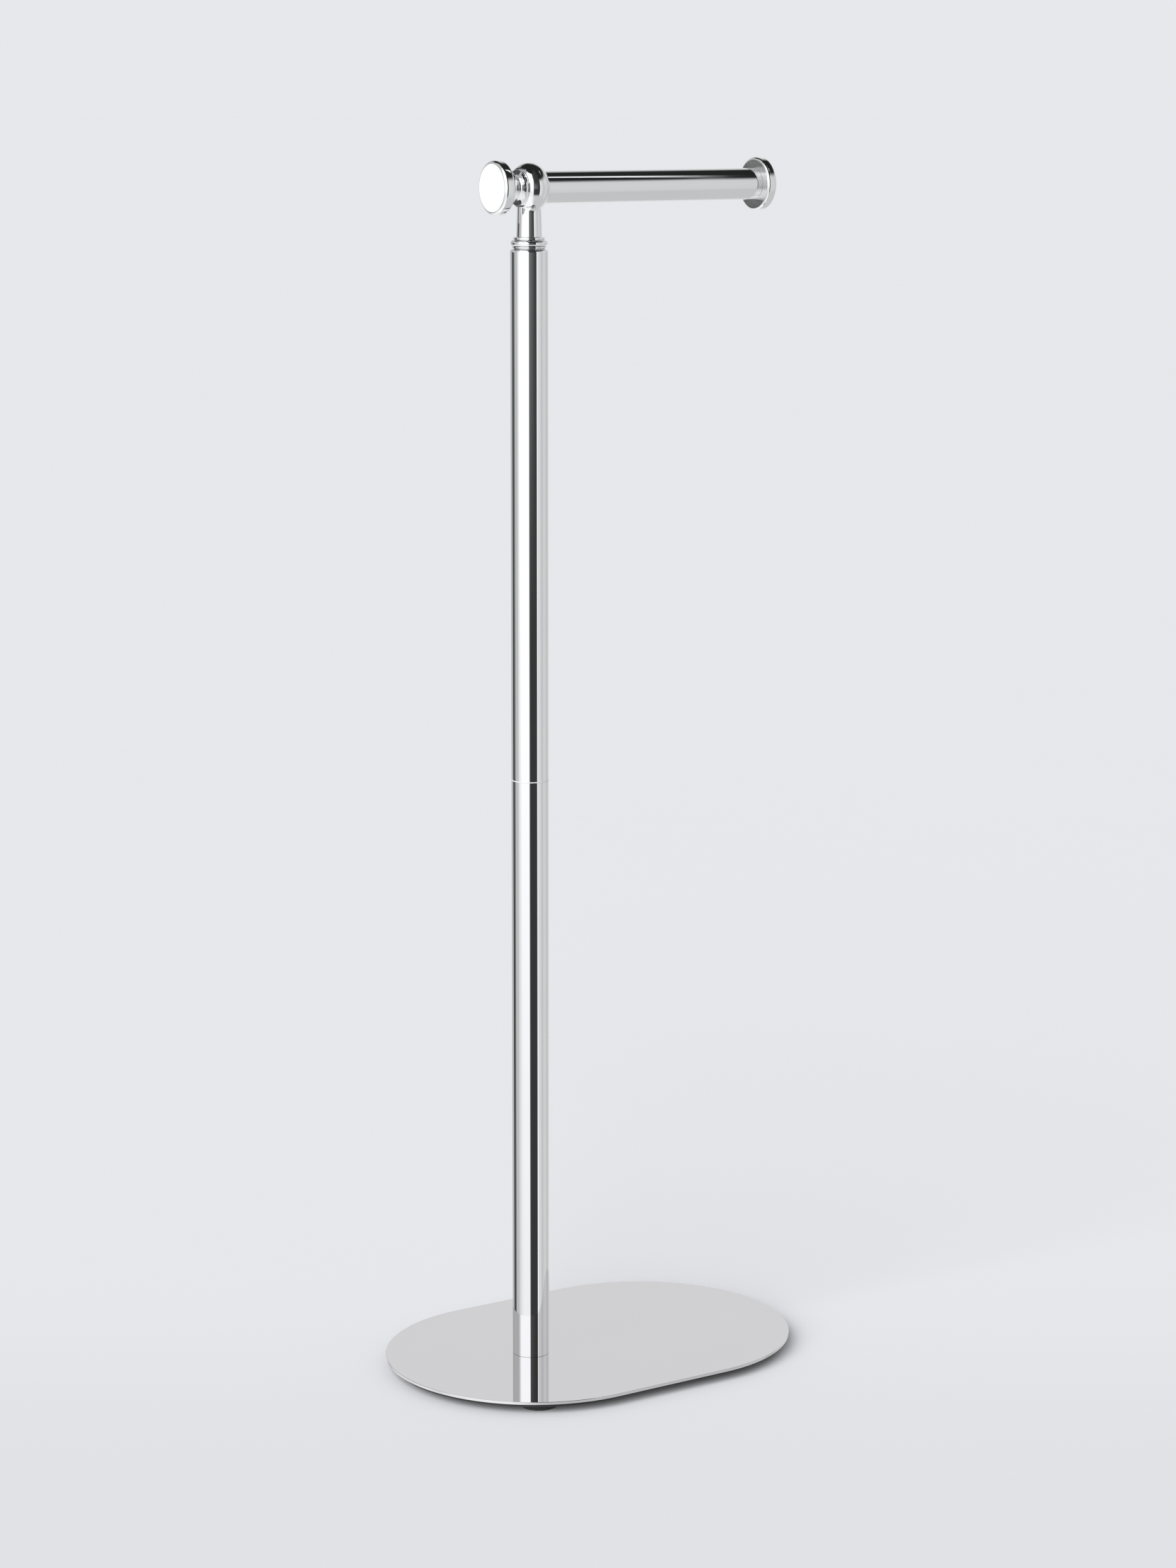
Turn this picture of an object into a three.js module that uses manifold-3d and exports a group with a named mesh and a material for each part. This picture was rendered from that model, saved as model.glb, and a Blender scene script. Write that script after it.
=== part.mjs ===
// Freestanding toilet paper holder. Millimetres, +Z up.
// The origin is on the floor under the middle of the base, and the arm points along +X.

import * as THREE from "three";
import { mergeVertices } from "three/addons/utils/BufferGeometryUtils.js";
import Module from "manifold-3d";

const wasm = await Module();
wasm.setup();

// Overall sizes
const baseLength = 224;
const baseWidth = 157;
const postOffset = 36.5; // from the middle of the base to the post axis
const lowerTubeLength = 304.45;
const upperTubeLength = 267.3;
const neckRise = 25.5; // from the foot of the neck to the arm axis
const armReach = 136.9; // from the post axis to the inner face of the end cap

// Fits
const fitGap = 0.05; // radial, pressed and screwed fits
const seatGap = 0.05; // between faces that bear on each other
const runningGap = 0.05; // radial, round the pivot pin
const swivelGap = 0.1; // under the head, so that it turns freely
const shapedGap = 0.3; // between the neck and the ball it is shaped to
const clearanceHole = 0.3; // radial, where a screw only passes through
const cutOverrun = 1; // how far a cutter runs past a face

// Base plates
const plateThickness = 1.5;
const plateEdgeRound = 0.3;
const bondGap = 0.1; // film of glue between the two plates
const weightInset = 2.5;
const weightRimThickness = 1.9;
const weightCoreInset = 28; // from the edge of the base to the thick middle of the weight plate
const weightCoreThickness = 3.1;
const weightEdgeRound = 0.4;

// Feet, under the rim of the weight plate
const footDiameter = 20;
const footHeight = 3.7;
const footTaper = 0.6;
const footEdgeMargin = 4.3; // from the foot to the edge of the weight plate
const footBearing = THREE.MathUtils.degToRad(58.8); // round each end of the base
const stemDiameter = 6.4;
const stemLength = 1.6;

// Post tubes and their inserts
const postDiameter = 19;
const postWall = 1.2;
const tubeChamfer = 0.1;
const shoulderHeight = 1.7;
const shoulderStep = 1.3; // how far the shoulder draws in
const lipThickness = 1.4;
const lipBore = 12;
const insertLength = 20;
const insertSetback = 0.6;
const seamWasherThickness = 0.35; // between the two tubes
const seamWasherInset = 0.05; // in from the outside of the tubes

// Screws and studs
const mainThread = 8;
const tieThread = 6;
const screwChamfer = 0.6;
const baseBoltLength = 22;
const baseBoltHead = 15;
const baseBoltHeadHeight = 3;
const baseBoltKey = 5;
const baseBoltKeyDepth = 2;
const joiningStudLength = 34;

// Pivot pin
const pinThreadLength = 17;
const journalDiameter = 7;
const journalTopGap = 1.2; // between its top and the end of the bore in the neck
const grooveDiameter = 5.4;
const grooveWidth = 3;

// Neck screw
const neckScrewDiameter = 4;
const neckScrewPoint = 2.4;
const neckScrewPointGap = 0.15; // between its point and the bottom of the groove
const neckScrewRecess = 0.3; // below the surface of the neck
const neckScrewKey = 2;
const neckScrewKeyDepth = 1.1;

// Swivel washer and bead ring
const washerDiameter = 15.6;
const washerThickness = 0.25;
const beadLipDiameter = 16.9;
const beadLipHeight = 0.8;
const beadDiameter = 18.4;
const beadHeight = 3.3;

// Neck
const neckStepDiameter = 15.6;
const neckStepHeight = 1.25;
const neckStepRound = 0.3;
const neckFootDiameter = 12.8;
const neckTopDiameter = 12.1;
const neckBoreRoof = 0.65; // from the end of its bore to the ball
const spigotDiameter = 7.6;
const spigotRoot = 1; // how far it reaches down into the column
const ballTieWall = 1.25; // left in the ball between the spigot and the bore for the tie stud

// Ball, a flattened ball of revolution about the arm axis
const ballDiameter = 24.5;
const ballWidth = 18.7;
const ballFaceReach = 5.6; // from the post axis to the flat that the knob seats on
const socketLip = 0.8;
const armSeat = 4.4; // from the post axis to the ball end of the arm tube

// Arm
const armDiameter = 16;
const armWall = 1.1;
const armInsertLength = 14;
const tieStudKnobReach = 8.5; // past the flat of the ball
const tieStudArmReach = 12; // past the seat of the arm tube

// Knob
const flangeDiameter = 17.8;
const flangeThickness = 1.5;
const knobNeckDiameter = 12.4;
const knobNeckLength = 0.75;
const knobBoreDepth = 9.5;
const knobFlare = THREE.MathUtils.degToRad(45); // of its cone, from the arm axis
const coveRound = 4;
const knobShoulderRound = 2;
const knobRimWidth = 2.5;

// The rounded face of the knob and of the end cap
const discDiameter = 26.8;
const faceDiameter = 23.6;
const faceBevelDepth = 1.7;

// End cap
const capThickness = 5.6;
const capBackDiameter = 25.2;
const capBackRound = 0.9;
const capSpigotLength = 12;
const capSpigotWall = 2;
const capSpigotChamfer = 0.5;

// How finely round shapes are divided
const visibleSides = 40;
const innerSides = 24;
const arcSteps = 3;
const ballSteps = 10;
const plateSteps = 12;
const weldTolerance = 1e-4;

// Sizes worked out from the driving ones
const postRadius = postDiameter / 2;
const postBoreRadius = postRadius - postWall;
const armRadius = armDiameter / 2;
const armBoreRadius = armRadius - armWall;
const ballRadius = ballDiameter / 2;
const ballHalfWidth = ballWidth / 2;
const mainThreadRadius = mainThread / 2;
const tieThreadRadius = tieThread / 2;
const journalRadius = journalDiameter / 2;
const runningBore = journalRadius + runningGap;
const tieBore = tieThreadRadius + clearanceHole;
const weightLength = baseLength - weightInset * 2;
const weightWidth = baseWidth - weightInset * 2;
const weightCoreLength = baseLength - weightCoreInset * 2;
const weightCoreWidth = baseWidth - weightCoreInset * 2;
const weightRimRise = weightCoreThickness - weightRimThickness; // of the rim above the middle

// Heights above the floor
const weightBottom = footHeight + seatGap - weightRimRise;
const weightTop = weightBottom + weightCoreThickness;
const plateBottom = weightTop + bondGap;
const plateTop = plateBottom + plateThickness;
const lowerTubeFoot = plateTop + seatGap;
const lowerTubeTop = lowerTubeFoot + lowerTubeLength;
const seamWasherFoot = lowerTubeTop + seatGap;
const upperTubeFoot = seamWasherFoot + seamWasherThickness + seatGap;
const shoulderTop = upperTubeFoot + upperTubeLength;
const washerFoot = shoulderTop + seatGap;
const headFoot = washerFoot + washerThickness + swivelGap;
const beadRingHeight = beadLipHeight + beadHeight;
const neckFoot = headFoot + beadRingHeight + seatGap;

// Heights above the foot of the neck
const neckBoreDepth = neckRise - ballRadius - neckBoreRoof;
const neckScrewHeight = (neckBoreDepth - screwChamfer) / 2;
const spigotReach = neckRise - tieBore - ballTieWall - seatGap;

// Materials
function metal(color, roughness) {
  return new THREE.MeshStandardMaterial({ color, roughness, metalness: 1 });
}

const polishedChrome = metal(0xd8dadd, 0.05);
const polishedSteel = metal(0xcfcdce, 0.06);
const turnedSteel = metal(0xc9cacd, 0.22);
const zincPlate = metal(0xb4b8bd, 0.35);
const blackPaint = new THREE.MeshStandardMaterial({ color: 0x1b1c1e, roughness: 0.55, metalness: 0 });
const whitePlastic = new THREE.MeshStandardMaterial({ color: 0xf0f0ee, roughness: 0.5, metalness: 0 });
const blackRubber = new THREE.MeshStandardMaterial({ color: 0x16161a, roughness: 0.8, metalness: 0 });

// Solids, for joins and cuts
function solidOf(geometry) {
  const bare = geometry.clone();
  bare.deleteAttribute("normal");
  bare.deleteAttribute("uv");
  const merged = mergeVertices(bare, weldTolerance);
  const vertProperties = merged.attributes.position.array;
  const triVerts = new Uint32Array(merged.index.array);
  return new wasm.Manifold(new wasm.Mesh({ numProp: 3, vertProperties, triVerts }));
}

function geometryOf(solid) {
  const { vertProperties, triVerts } = solid.getMesh();
  const geometry = new THREE.BufferGeometry();
  geometry.setAttribute("position", new THREE.BufferAttribute(vertProperties, 3));
  geometry.setIndex(new THREE.BufferAttribute(triVerts, 1));
  geometry.computeVertexNormals();
  return geometry;
}

function cutAway(geometry, cutters) {
  let solid = solidOf(geometry);
  for (const cutter of cutters) solid = solid.subtract(solidOf(cutter));
  return geometryOf(solid);
}

// Turned shapes. A profile lists [radius, height] from its lower inner end, out and up.
function turned(profile, sides) {
  const points = profile.map(([radius, height]) => new THREE.Vector2(radius, height));
  return new THREE.LatheGeometry(points, sides).rotateX(Math.PI / 2);
}

function rod(radius, foot, top, sides) {
  return turned([[0, foot], [radius, foot], [radius, top], [0, top]], sides);
}

function ring(innerRadius, outerRadius, foot, top, sides) {
  return turned([
    [innerRadius, foot],
    [outerRadius, foot],
    [outerRadius, top],
    [innerRadius, top],
    [innerRadius, foot],
  ], sides);
}

function stud(radius, length) {
  return turned([
    [0, 0],
    [radius - screwChamfer, 0],
    [radius, screwChamfer],
    [radius, length - screwChamfer],
    [radius - screwChamfer, length],
    [0, length],
  ], innerSides);
}

// Points of an elliptical arc in a profile, ends included, angles from the radial direction.
function arc(centreRadius, centreHeight, acrossRadius, alongRadius, from, to, steps) {
  return Array.from({ length: steps + 1 }, (_, step) => {
    const angle = from + ((to - from) * step) / steps;
    return [
      centreRadius + acrossRadius * Math.cos(angle),
      centreHeight + alongRadius * Math.sin(angle),
    ];
  });
}

// Lays a shape that was turned about Z along the arm, so that its height runs along +X.
function alongArm(geometry) {
  return geometry.rotateY(Math.PI / 2);
}

function hexKey(acrossFlats, foot, top) {
  const radius = acrossFlats / Math.sqrt(3);
  const height = top - foot;
  const prism = new THREE.CylinderGeometry(radius, radius, height, 6).rotateX(Math.PI / 2);
  return prism.translate(0, 0, foot + height / 2);
}

function piece(name, geometry, material, x, y, z) {
  const mesh = new THREE.Mesh(geometry, material);
  mesh.name = name;
  mesh.position.set(x, y, z);
  return mesh;
}

// Racetrack plate with its edge rounded inside the stated length and width, foot at zero.
function racetrackPlate(length, width, thickness, edgeRound) {
  const radius = width / 2;
  const straight = length / 2 - radius;
  const outline = new THREE.Shape();
  outline.absarc(straight, 0, radius, -Math.PI / 2, Math.PI / 2, false);
  outline.absarc(-straight, 0, radius, Math.PI / 2, Math.PI * 1.5, false);
  outline.closePath();
  return new THREE.ExtrudeGeometry(outline, {
    depth: thickness - edgeRound * 2,
    curveSegments: plateSteps,
    bevelEnabled: true,
    bevelThickness: edgeRound,
    bevelSize: edgeRound,
    bevelOffset: -edgeRound,
    bevelSegments: 2,
  }).translate(0, 0, edgeRound);
}

// Stand

function basePlate() {
  const plate = racetrackPlate(baseLength, baseWidth, plateThickness, plateEdgeRound);
  const boltHole = rod(
    mainThreadRadius + clearanceHole,
    -cutOverrun,
    plateThickness + cutOverrun,
    innerSides,
  ).translate(-postOffset, 0, 0);
  return piece("base_plate", cutAway(plate, [boltHole]), polishedSteel, 0, 0, plateBottom);
}

// The four feet, by name, at equal bearings round the ends of the base
const footRadius = footDiameter / 2;
const footCentreReach = weightWidth / 2 - footRadius - footEdgeMargin;
const footAlong = (baseLength - baseWidth) / 2 + footCentreReach * Math.cos(footBearing);
const footAcross = footCentreReach * Math.sin(footBearing);
const footPlaces = {
  foot_front_left: [-footAlong, -footAcross],
  foot_front_right: [footAlong, -footAcross],
  foot_rear_left: [-footAlong, footAcross],
  foot_rear_right: [footAlong, footAcross],
};

// Head of the base bolt, widened by a gap for its countersink
function boltHead(gap) {
  return [
    [0, 0],
    [baseBoltHead / 2 + gap, 0],
    [mainThreadRadius + gap, baseBoltHeadHeight],
  ];
}

// Thin rim that carries the feet, and a thick middle for the head of the base bolt
function weightPlate() {
  const rim = racetrackPlate(weightLength, weightWidth, weightRimThickness, weightEdgeRound)
    .translate(0, 0, weightRimRise);
  const core = racetrackPlate(
    weightCoreLength,
    weightCoreWidth,
    weightCoreThickness,
    weightEdgeRound,
  );
  const plate = geometryOf(solidOf(rim).add(solidOf(core)));
  const top = weightCoreThickness + cutOverrun;
  const countersink = turned([
    [0, -cutOverrun],
    [baseBoltHead / 2 + clearanceHole, -cutOverrun],
    ...boltHead(clearanceHole).slice(1),
    [mainThreadRadius + clearanceHole, top],
    [0, top],
  ], innerSides).translate(-postOffset, 0, 0);
  const stemHoles = Object.values(footPlaces).map(([x, y]) =>
    rod(stemDiameter / 2 + fitGap, -cutOverrun, top, innerSides).translate(x, y, 0),
  );
  const plateWithHoles = cutAway(plate, [countersink, ...stemHoles]);
  return piece("weight_plate", plateWithHoles, blackPaint, 0, 0, weightBottom);
}

function foot(name, [x, y]) {
  const stemRadius = stemDiameter / 2;
  const stemTop = footHeight + stemLength;
  const geometry = turned([
    [0, 0],
    [footRadius - footTaper, 0],
    [footRadius, footTaper],
    [footRadius, footHeight],
    [stemRadius, footHeight],
    [stemRadius, stemTop],
    [0, stemTop],
  ], innerSides);
  return piece(name, geometry, blackRubber, x, y, 0);
}

function baseBolt() {
  const bolt = turned([
    ...boltHead(0),
    [mainThreadRadius, baseBoltLength - screwChamfer],
    [mainThreadRadius - screwChamfer, baseBoltLength],
    [0, baseBoltLength],
  ], innerSides);
  const key = hexKey(baseBoltKey, -cutOverrun, baseBoltKeyDepth);
  const bottom = weightBottom + seatGap;
  return piece("base_bolt", cutAway(bolt, [key]), zincPlate, -postOffset, 0, bottom);
}

function lowerTube() {
  const chamfered = postRadius - tubeChamfer;
  const geometry = turned([
    [postBoreRadius, 0],
    [postRadius, 0],
    [postRadius, lowerTubeLength - tubeChamfer],
    [chamfered, lowerTubeLength],
    [postBoreRadius, lowerTubeLength],
    [postBoreRadius, 0],
  ], visibleSides);
  return piece("lower_tube", geometry, polishedChrome, -postOffset, 0, lowerTubeFoot);
}

function seamWasher() {
  const bore = mainThreadRadius + clearanceHole;
  const outside = postRadius - seamWasherInset;
  const geometry = ring(bore, outside, 0, seamWasherThickness, visibleSides);
  return piece("seam_washer", geometry, whitePlastic, -postOffset, 0, seamWasherFoot);
}

function upperTube() {
  const chamfered = postRadius - tubeChamfer;
  const shoulderFoot = upperTubeLength - shoulderHeight;
  const shoulder = arc(
    postRadius - shoulderStep,
    shoulderFoot,
    shoulderStep,
    shoulderHeight,
    0,
    Math.PI / 2,
    arcSteps,
  );
  const lipFoot = upperTubeLength - lipThickness;
  const geometry = turned([
    [postBoreRadius, 0],
    [chamfered, 0],
    [postRadius, tubeChamfer],
    ...shoulder,
    [lipBore / 2, upperTubeLength],
    [lipBore / 2, lipFoot],
    [postBoreRadius, lipFoot],
    [postBoreRadius, 0],
  ], visibleSides);
  return piece("upper_tube", geometry, polishedChrome, -postOffset, 0, upperTubeFoot);
}

// Threaded inserts pressed into the tube ends, by name, with the height of each one's foot
const insertFeet = {
  insert_foot: lowerTubeFoot + insertSetback,
  insert_lower_top: lowerTubeTop - insertSetback - insertLength,
  insert_upper_foot: upperTubeFoot + insertSetback,
  insert_head: shoulderTop - lipThickness - seatGap - insertLength,
};

function threadedInsert(name, height) {
  const bore = mainThreadRadius + fitGap;
  const geometry = ring(bore, postBoreRadius - fitGap, 0, insertLength, innerSides);
  return piece(name, geometry, zincPlate, -postOffset, 0, height);
}

function joiningStud() {
  const height = (lowerTubeTop + upperTubeFoot - joiningStudLength) / 2;
  const geometry = stud(mainThreadRadius, joiningStudLength);
  return piece("joining_stud", geometry, zincPlate, -postOffset, 0, height);
}

// The pin is drawn from the top of the shoulder: thread below it, journal above.
function pivotPin() {
  const grooveMiddle = neckFoot + neckScrewHeight - shoulderTop;
  const grooveFoot = grooveMiddle - grooveWidth / 2;
  const grooveTop = grooveMiddle + grooveWidth / 2;
  const grooveRadius = grooveDiameter / 2;
  const journalLength = neckFoot + neckBoreDepth - journalTopGap - shoulderTop;
  const geometry = turned([
    [0, -pinThreadLength],
    [mainThreadRadius - screwChamfer, -pinThreadLength],
    [mainThreadRadius, screwChamfer - pinThreadLength],
    [mainThreadRadius, 0],
    [journalRadius, 0],
    [journalRadius, grooveFoot],
    [grooveRadius, grooveFoot],
    [grooveRadius, grooveTop],
    [journalRadius, grooveTop],
    [journalRadius, journalLength - screwChamfer],
    [journalRadius - screwChamfer, journalLength],
    [0, journalLength],
  ], visibleSides);
  return piece("pivot_pin", geometry, zincPlate, -postOffset, 0, shoulderTop);
}

function swivelWasher() {
  const geometry = ring(runningBore, washerDiameter / 2, 0, washerThickness, visibleSides);
  return piece("swivel_washer", geometry, turnedSteel, -postOffset, 0, washerFoot);
}

// Head, drawn from the foot of the bead ring on the post axis

const neckBase = neckFoot - headFoot;
const armAxis = neckBase + neckRise;

function beadRing() {
  const beadRound = beadHeight / 2;
  const bead = arc(
    beadDiameter / 2 - beadRound,
    beadLipHeight + beadRound,
    beadRound,
    beadRound,
    -Math.PI / 2,
    Math.PI / 2,
    arcSteps * 2,
  );
  const geometry = turned([
    [runningBore, 0],
    [beadLipDiameter / 2, 0],
    [beadLipDiameter / 2, beadLipHeight],
    ...bead,
    [runningBore, beadRingHeight],
    [runningBore, 0],
  ], visibleSides);
  return piece("bead_ring", geometry, polishedChrome, 0, 0, 0);
}

// The whole flattened ball, grown by a gap, with its middle at zero and its width along Z
function wholeBall(gap) {
  const half = Math.PI / 2;
  const profile = arc(0, 0, ballRadius + gap, ballHalfWidth + gap, -half, half, ballSteps);
  profile[0][0] = 0;
  profile[ballSteps][0] = 0;
  return turned(profile, visibleSides);
}

// A plain hole across the neck for its screw, with its axis along Y
function neckScrewHole() {
  const radius = neckScrewDiameter / 2 + fitGap;
  const hole = rod(radius, 0, neckFootDiameter, innerSides).rotateX(-Math.PI / 2);
  return hole.translate(0, 0, neckScrewHeight);
}

function neck() {
  const stepRadius = neckStepDiameter / 2;
  const columnTop = neckRise - ballRadius / 2;
  const stepEdge = arc(
    stepRadius - neckStepRound,
    neckStepHeight - neckStepRound,
    neckStepRound,
    neckStepRound,
    0,
    Math.PI / 2,
    2,
  );
  const column = turned([
    [0, 0],
    [stepRadius, 0],
    ...stepEdge,
    [neckFootDiameter / 2, neckStepHeight],
    [neckTopDiameter / 2, columnTop],
    [0, columnTop],
  ], visibleSides);
  const ballShape = alongArm(wholeBall(shapedGap)).translate(0, 0, neckRise);
  const spigotFoot = neckRise - ballRadius - spigotRoot;
  const spigot = rod(spigotDiameter / 2, spigotFoot, spigotReach, innerSides);
  const bore = rod(runningBore, -cutOverrun, neckBoreDepth, visibleSides);
  const solid = solidOf(column)
    .subtract(solidOf(ballShape))
    .add(solidOf(spigot))
    .subtract(solidOf(bore))
    .subtract(solidOf(neckScrewHole()));
  return piece("neck", geometryOf(solid), polishedChrome, 0, 0, neckBase);
}

// The grub screw is drawn along +Y from its point.
function neckScrew() {
  const pointFoot = grooveDiameter / 2 + neckScrewPointGap;
  const bodyFoot = journalRadius + runningGap + fitGap;
  const taper = (neckFootDiameter - neckTopDiameter) / 2;
  const columnRadius = neckFootDiameter / 2 - taper * (neckScrewHeight / neckRise);
  const bodyTop = columnRadius - neckScrewRecess;
  const screw = turned([
    [0, pointFoot],
    [neckScrewPoint / 2, pointFoot],
    [neckScrewPoint / 2, bodyFoot],
    [neckScrewDiameter / 2, bodyFoot],
    [neckScrewDiameter / 2, bodyTop],
    [0, bodyTop],
  ], innerSides);
  const key = hexKey(neckScrewKey, bodyTop - neckScrewKeyDepth, bodyTop + cutOverrun);
  const geometry = cutAway(screw, [key]).rotateX(-Math.PI / 2);
  return piece("neck_screw", geometry, zincPlate, 0, 0, neckBase + neckScrewHeight);
}

function ball() {
  const socketRadius = armRadius + fitGap;
  const faceAngle = -Math.asin(ballFaceReach / ballHalfWidth);
  const socketAngle = Math.acos((socketRadius + socketLip) / ballRadius);
  const surface = arc(0, 0, ballRadius, ballHalfWidth, faceAngle, socketAngle, ballSteps);
  const socketEnd = surface[ballSteps][1];
  const turnedBall = turned([
    [tieBore, -ballFaceReach],
    ...surface,
    [socketRadius, socketEnd],
    [socketRadius, armSeat],
    [tieBore, armSeat],
    [tieBore, -ballFaceReach],
  ], visibleSides);
  const spigotHole = rod(
    spigotDiameter / 2 + fitGap,
    -ballDiameter,
    spigotReach + seatGap - neckRise,
    innerSides,
  );
  const geometry = cutAway(alongArm(turnedBall), [spigotHole]);
  return piece("ball", geometry, polishedChrome, 0, 0, armAxis);
}

function armTube() {
  const length = armReach - armSeat - seatGap * 2;
  const geometry = alongArm(ring(armBoreRadius, armRadius, 0, length, visibleSides));
  return piece("arm_tube", geometry, polishedChrome, armSeat + seatGap, 0, armAxis);
}

function armInsert() {
  const bore = tieThreadRadius + fitGap;
  const shape = ring(bore, armBoreRadius - fitGap, 0, armInsertLength, innerSides);
  return piece("arm_insert", alongArm(shape), zincPlate, armSeat + seatGap, 0, armAxis);
}

function tieStud() {
  const length = tieStudKnobReach + ballFaceReach + armSeat + tieStudArmReach;
  const geometry = alongArm(stud(tieThreadRadius, length));
  const start = -ballFaceReach - tieStudKnobReach;
  return piece("tie_stud", geometry, zincPlate, start, 0, armAxis);
}

// The rounded corner and flat face that end a disc, with the face at the given height
function discFace(face) {
  const bevelStep = (discDiameter - faceDiameter) / 2;
  const corner = arc(
    faceDiameter / 2,
    face - faceBevelDepth,
    bevelStep,
    faceBevelDepth,
    0,
    Math.PI / 2,
    arcSteps,
  );
  return [...corner, [0, face]];
}

// The knob is turned from its seat on the ball outwards, then laid along -X.
function knob() {
  const neckRadius = knobNeckDiameter / 2;
  const discRadius = discDiameter / 2;
  const boreRadius = tieThreadRadius + fitGap;
  const coveFoot = flangeThickness + knobNeckLength;
  const across = 1 - Math.cos(knobFlare);
  const along = Math.sin(knobFlare);
  const coneRise = discRadius - neckRadius - (coveRound + knobShoulderRound) * across;
  const coneTop = coveFoot + coveRound * along + coneRise / Math.tan(knobFlare);
  const rimFoot = coneTop + knobShoulderRound * along;
  const cove = arc(
    neckRadius + coveRound,
    coveFoot,
    coveRound,
    coveRound,
    Math.PI,
    Math.PI - knobFlare,
    arcSteps,
  );
  const shoulder = arc(
    discRadius - knobShoulderRound,
    rimFoot,
    knobShoulderRound,
    knobShoulderRound,
    -knobFlare,
    0,
    arcSteps,
  );
  const shape = turned([
    [0, knobBoreDepth],
    [boreRadius, knobBoreDepth],
    [boreRadius, 0],
    [flangeDiameter / 2, 0],
    [flangeDiameter / 2, flangeThickness],
    [neckRadius, flangeThickness],
    ...cove,
    ...shoulder,
    ...discFace(rimFoot + knobRimWidth + faceBevelDepth),
  ], visibleSides);
  const geometry = shape.rotateY(-Math.PI / 2);
  return piece("knob", geometry, polishedChrome, -ballFaceReach - seatGap, 0, armAxis);
}

// The end cap is turned from the end of its spigot outwards; the back of its disc is at zero.
function endCap() {
  const spigotRadius = armBoreRadius - fitGap;
  const wallRadius = spigotRadius - capSpigotWall;
  const backStep = (discDiameter - capBackDiameter) / 2;
  const backCorner = arc(
    capBackDiameter / 2,
    capBackRound,
    backStep,
    capBackRound,
    -Math.PI / 2,
    0,
    arcSteps,
  );
  const shape = turned([
    [0, 0],
    [wallRadius, 0],
    [wallRadius, -capSpigotLength],
    [spigotRadius - capSpigotChamfer, -capSpigotLength],
    [spigotRadius, capSpigotChamfer - capSpigotLength],
    [spigotRadius, 0],
    ...backCorner,
    ...discFace(capThickness),
  ], visibleSides);
  return piece("end_cap", alongArm(shape), polishedChrome, armReach, 0, armAxis);
}

// Assembly

function stand() {
  const group = new THREE.Group();
  group.add(basePlate(), weightPlate(), baseBolt());
  for (const [name, place] of Object.entries(footPlaces)) group.add(foot(name, place));
  group.add(lowerTube(), seamWasher(), upperTube(), joiningStud());
  for (const [name, height] of Object.entries(insertFeet)) {
    group.add(threadedInsert(name, height));
  }
  group.add(pivotPin(), swivelWasher());
  return group;
}

function head() {
  const group = new THREE.Group();
  group.position.set(-postOffset, 0, headFoot);
  group.add(beadRing(), neck(), neckScrew(), ball());
  group.add(armTube(), armInsert(), tieStud(), knob(), endCap());
  return group;
}

const holder = new THREE.Group();
holder.add(stand(), head());

export default holder;
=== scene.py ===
"""Looks of the freestanding toilet paper holder, in metres, +Z up, the floor at zero."""

import math

import bmesh
import bpy
from mathutils import Matrix, Vector

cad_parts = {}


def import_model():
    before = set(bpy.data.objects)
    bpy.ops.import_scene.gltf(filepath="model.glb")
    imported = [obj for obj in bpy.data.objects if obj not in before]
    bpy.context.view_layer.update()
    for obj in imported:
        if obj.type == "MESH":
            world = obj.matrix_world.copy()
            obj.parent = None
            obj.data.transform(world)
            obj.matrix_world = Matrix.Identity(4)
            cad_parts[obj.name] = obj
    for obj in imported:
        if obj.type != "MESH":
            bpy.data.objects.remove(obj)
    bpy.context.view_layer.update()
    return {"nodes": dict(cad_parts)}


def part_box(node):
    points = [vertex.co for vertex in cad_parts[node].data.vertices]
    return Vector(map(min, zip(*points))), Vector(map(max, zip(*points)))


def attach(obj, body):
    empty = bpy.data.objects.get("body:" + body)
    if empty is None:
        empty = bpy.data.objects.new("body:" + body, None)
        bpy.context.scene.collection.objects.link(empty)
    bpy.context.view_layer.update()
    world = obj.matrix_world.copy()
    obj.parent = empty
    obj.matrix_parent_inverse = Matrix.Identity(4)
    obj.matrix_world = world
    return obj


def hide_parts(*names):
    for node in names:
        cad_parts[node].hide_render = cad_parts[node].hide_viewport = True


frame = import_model()

MM = 0.001
QUARTER = math.pi / 2

# Camera, fitted to the edges of the post, arm, discs and base in the photograph
CAMERA_PLACE = Vector((-1.04661, -1.57958, 0.66135))
CAMERA_YAW = math.radians(33.498)
CAMERA_PITCH = math.radians(10.624)
CAMERA_ROLL = math.radians(0.073)
CAMERA_LENS = 86.06
SENSOR_WIDTH = 36
CAMERA_NEAR = 0.1
CAMERA_FAR = 200

# Light
SKY_LEVEL = 0.46
SUN_SHARE = 0.54
SUN_ELEVATION = math.radians(30)
SUN_TURN = math.radians(-62)
SUN_SPREAD = math.radians(50)
BACKDROP = (0.799, 0.807, 0.84)
FLOOR_REACH = 60.0
FLOOR_MOTTLE_SHARE = 0.992
# Painted shade on the floor: its colour is darker towards the camera, down to this share of the
# backdrop, over this fade in metres
FLOOR_NEAR_SHADE_SHARE = 0.942
FLOOR_SHADE_FADE = (-0.2, 0.14)
CARD_PLACE = Vector((-0.1378, 0.127, 0.605))
CARD_BEAM = Vector((-0.53, 0.847, -0.03))
CARD_HALF_WIDTH = 7.4 * MM
CARD_HALF_HEIGHT = 13.5 * MM
CARD_LEVEL = 1.25

# Mesh fineness
TURNED_STEPS = 192
ARC_STEP = math.radians(3)
LEAST_ROUND_STEPS = 4
SUPPORT = 0.03 * MM
WELD = 0.0005 * MM
SHARP = math.radians(30)
FLAT_FACING = 0.9999
HEX_SIDES = 6
FIT_GAP = 0.05 * MM
CUT_OVERRUN = 1 * MM

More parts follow.
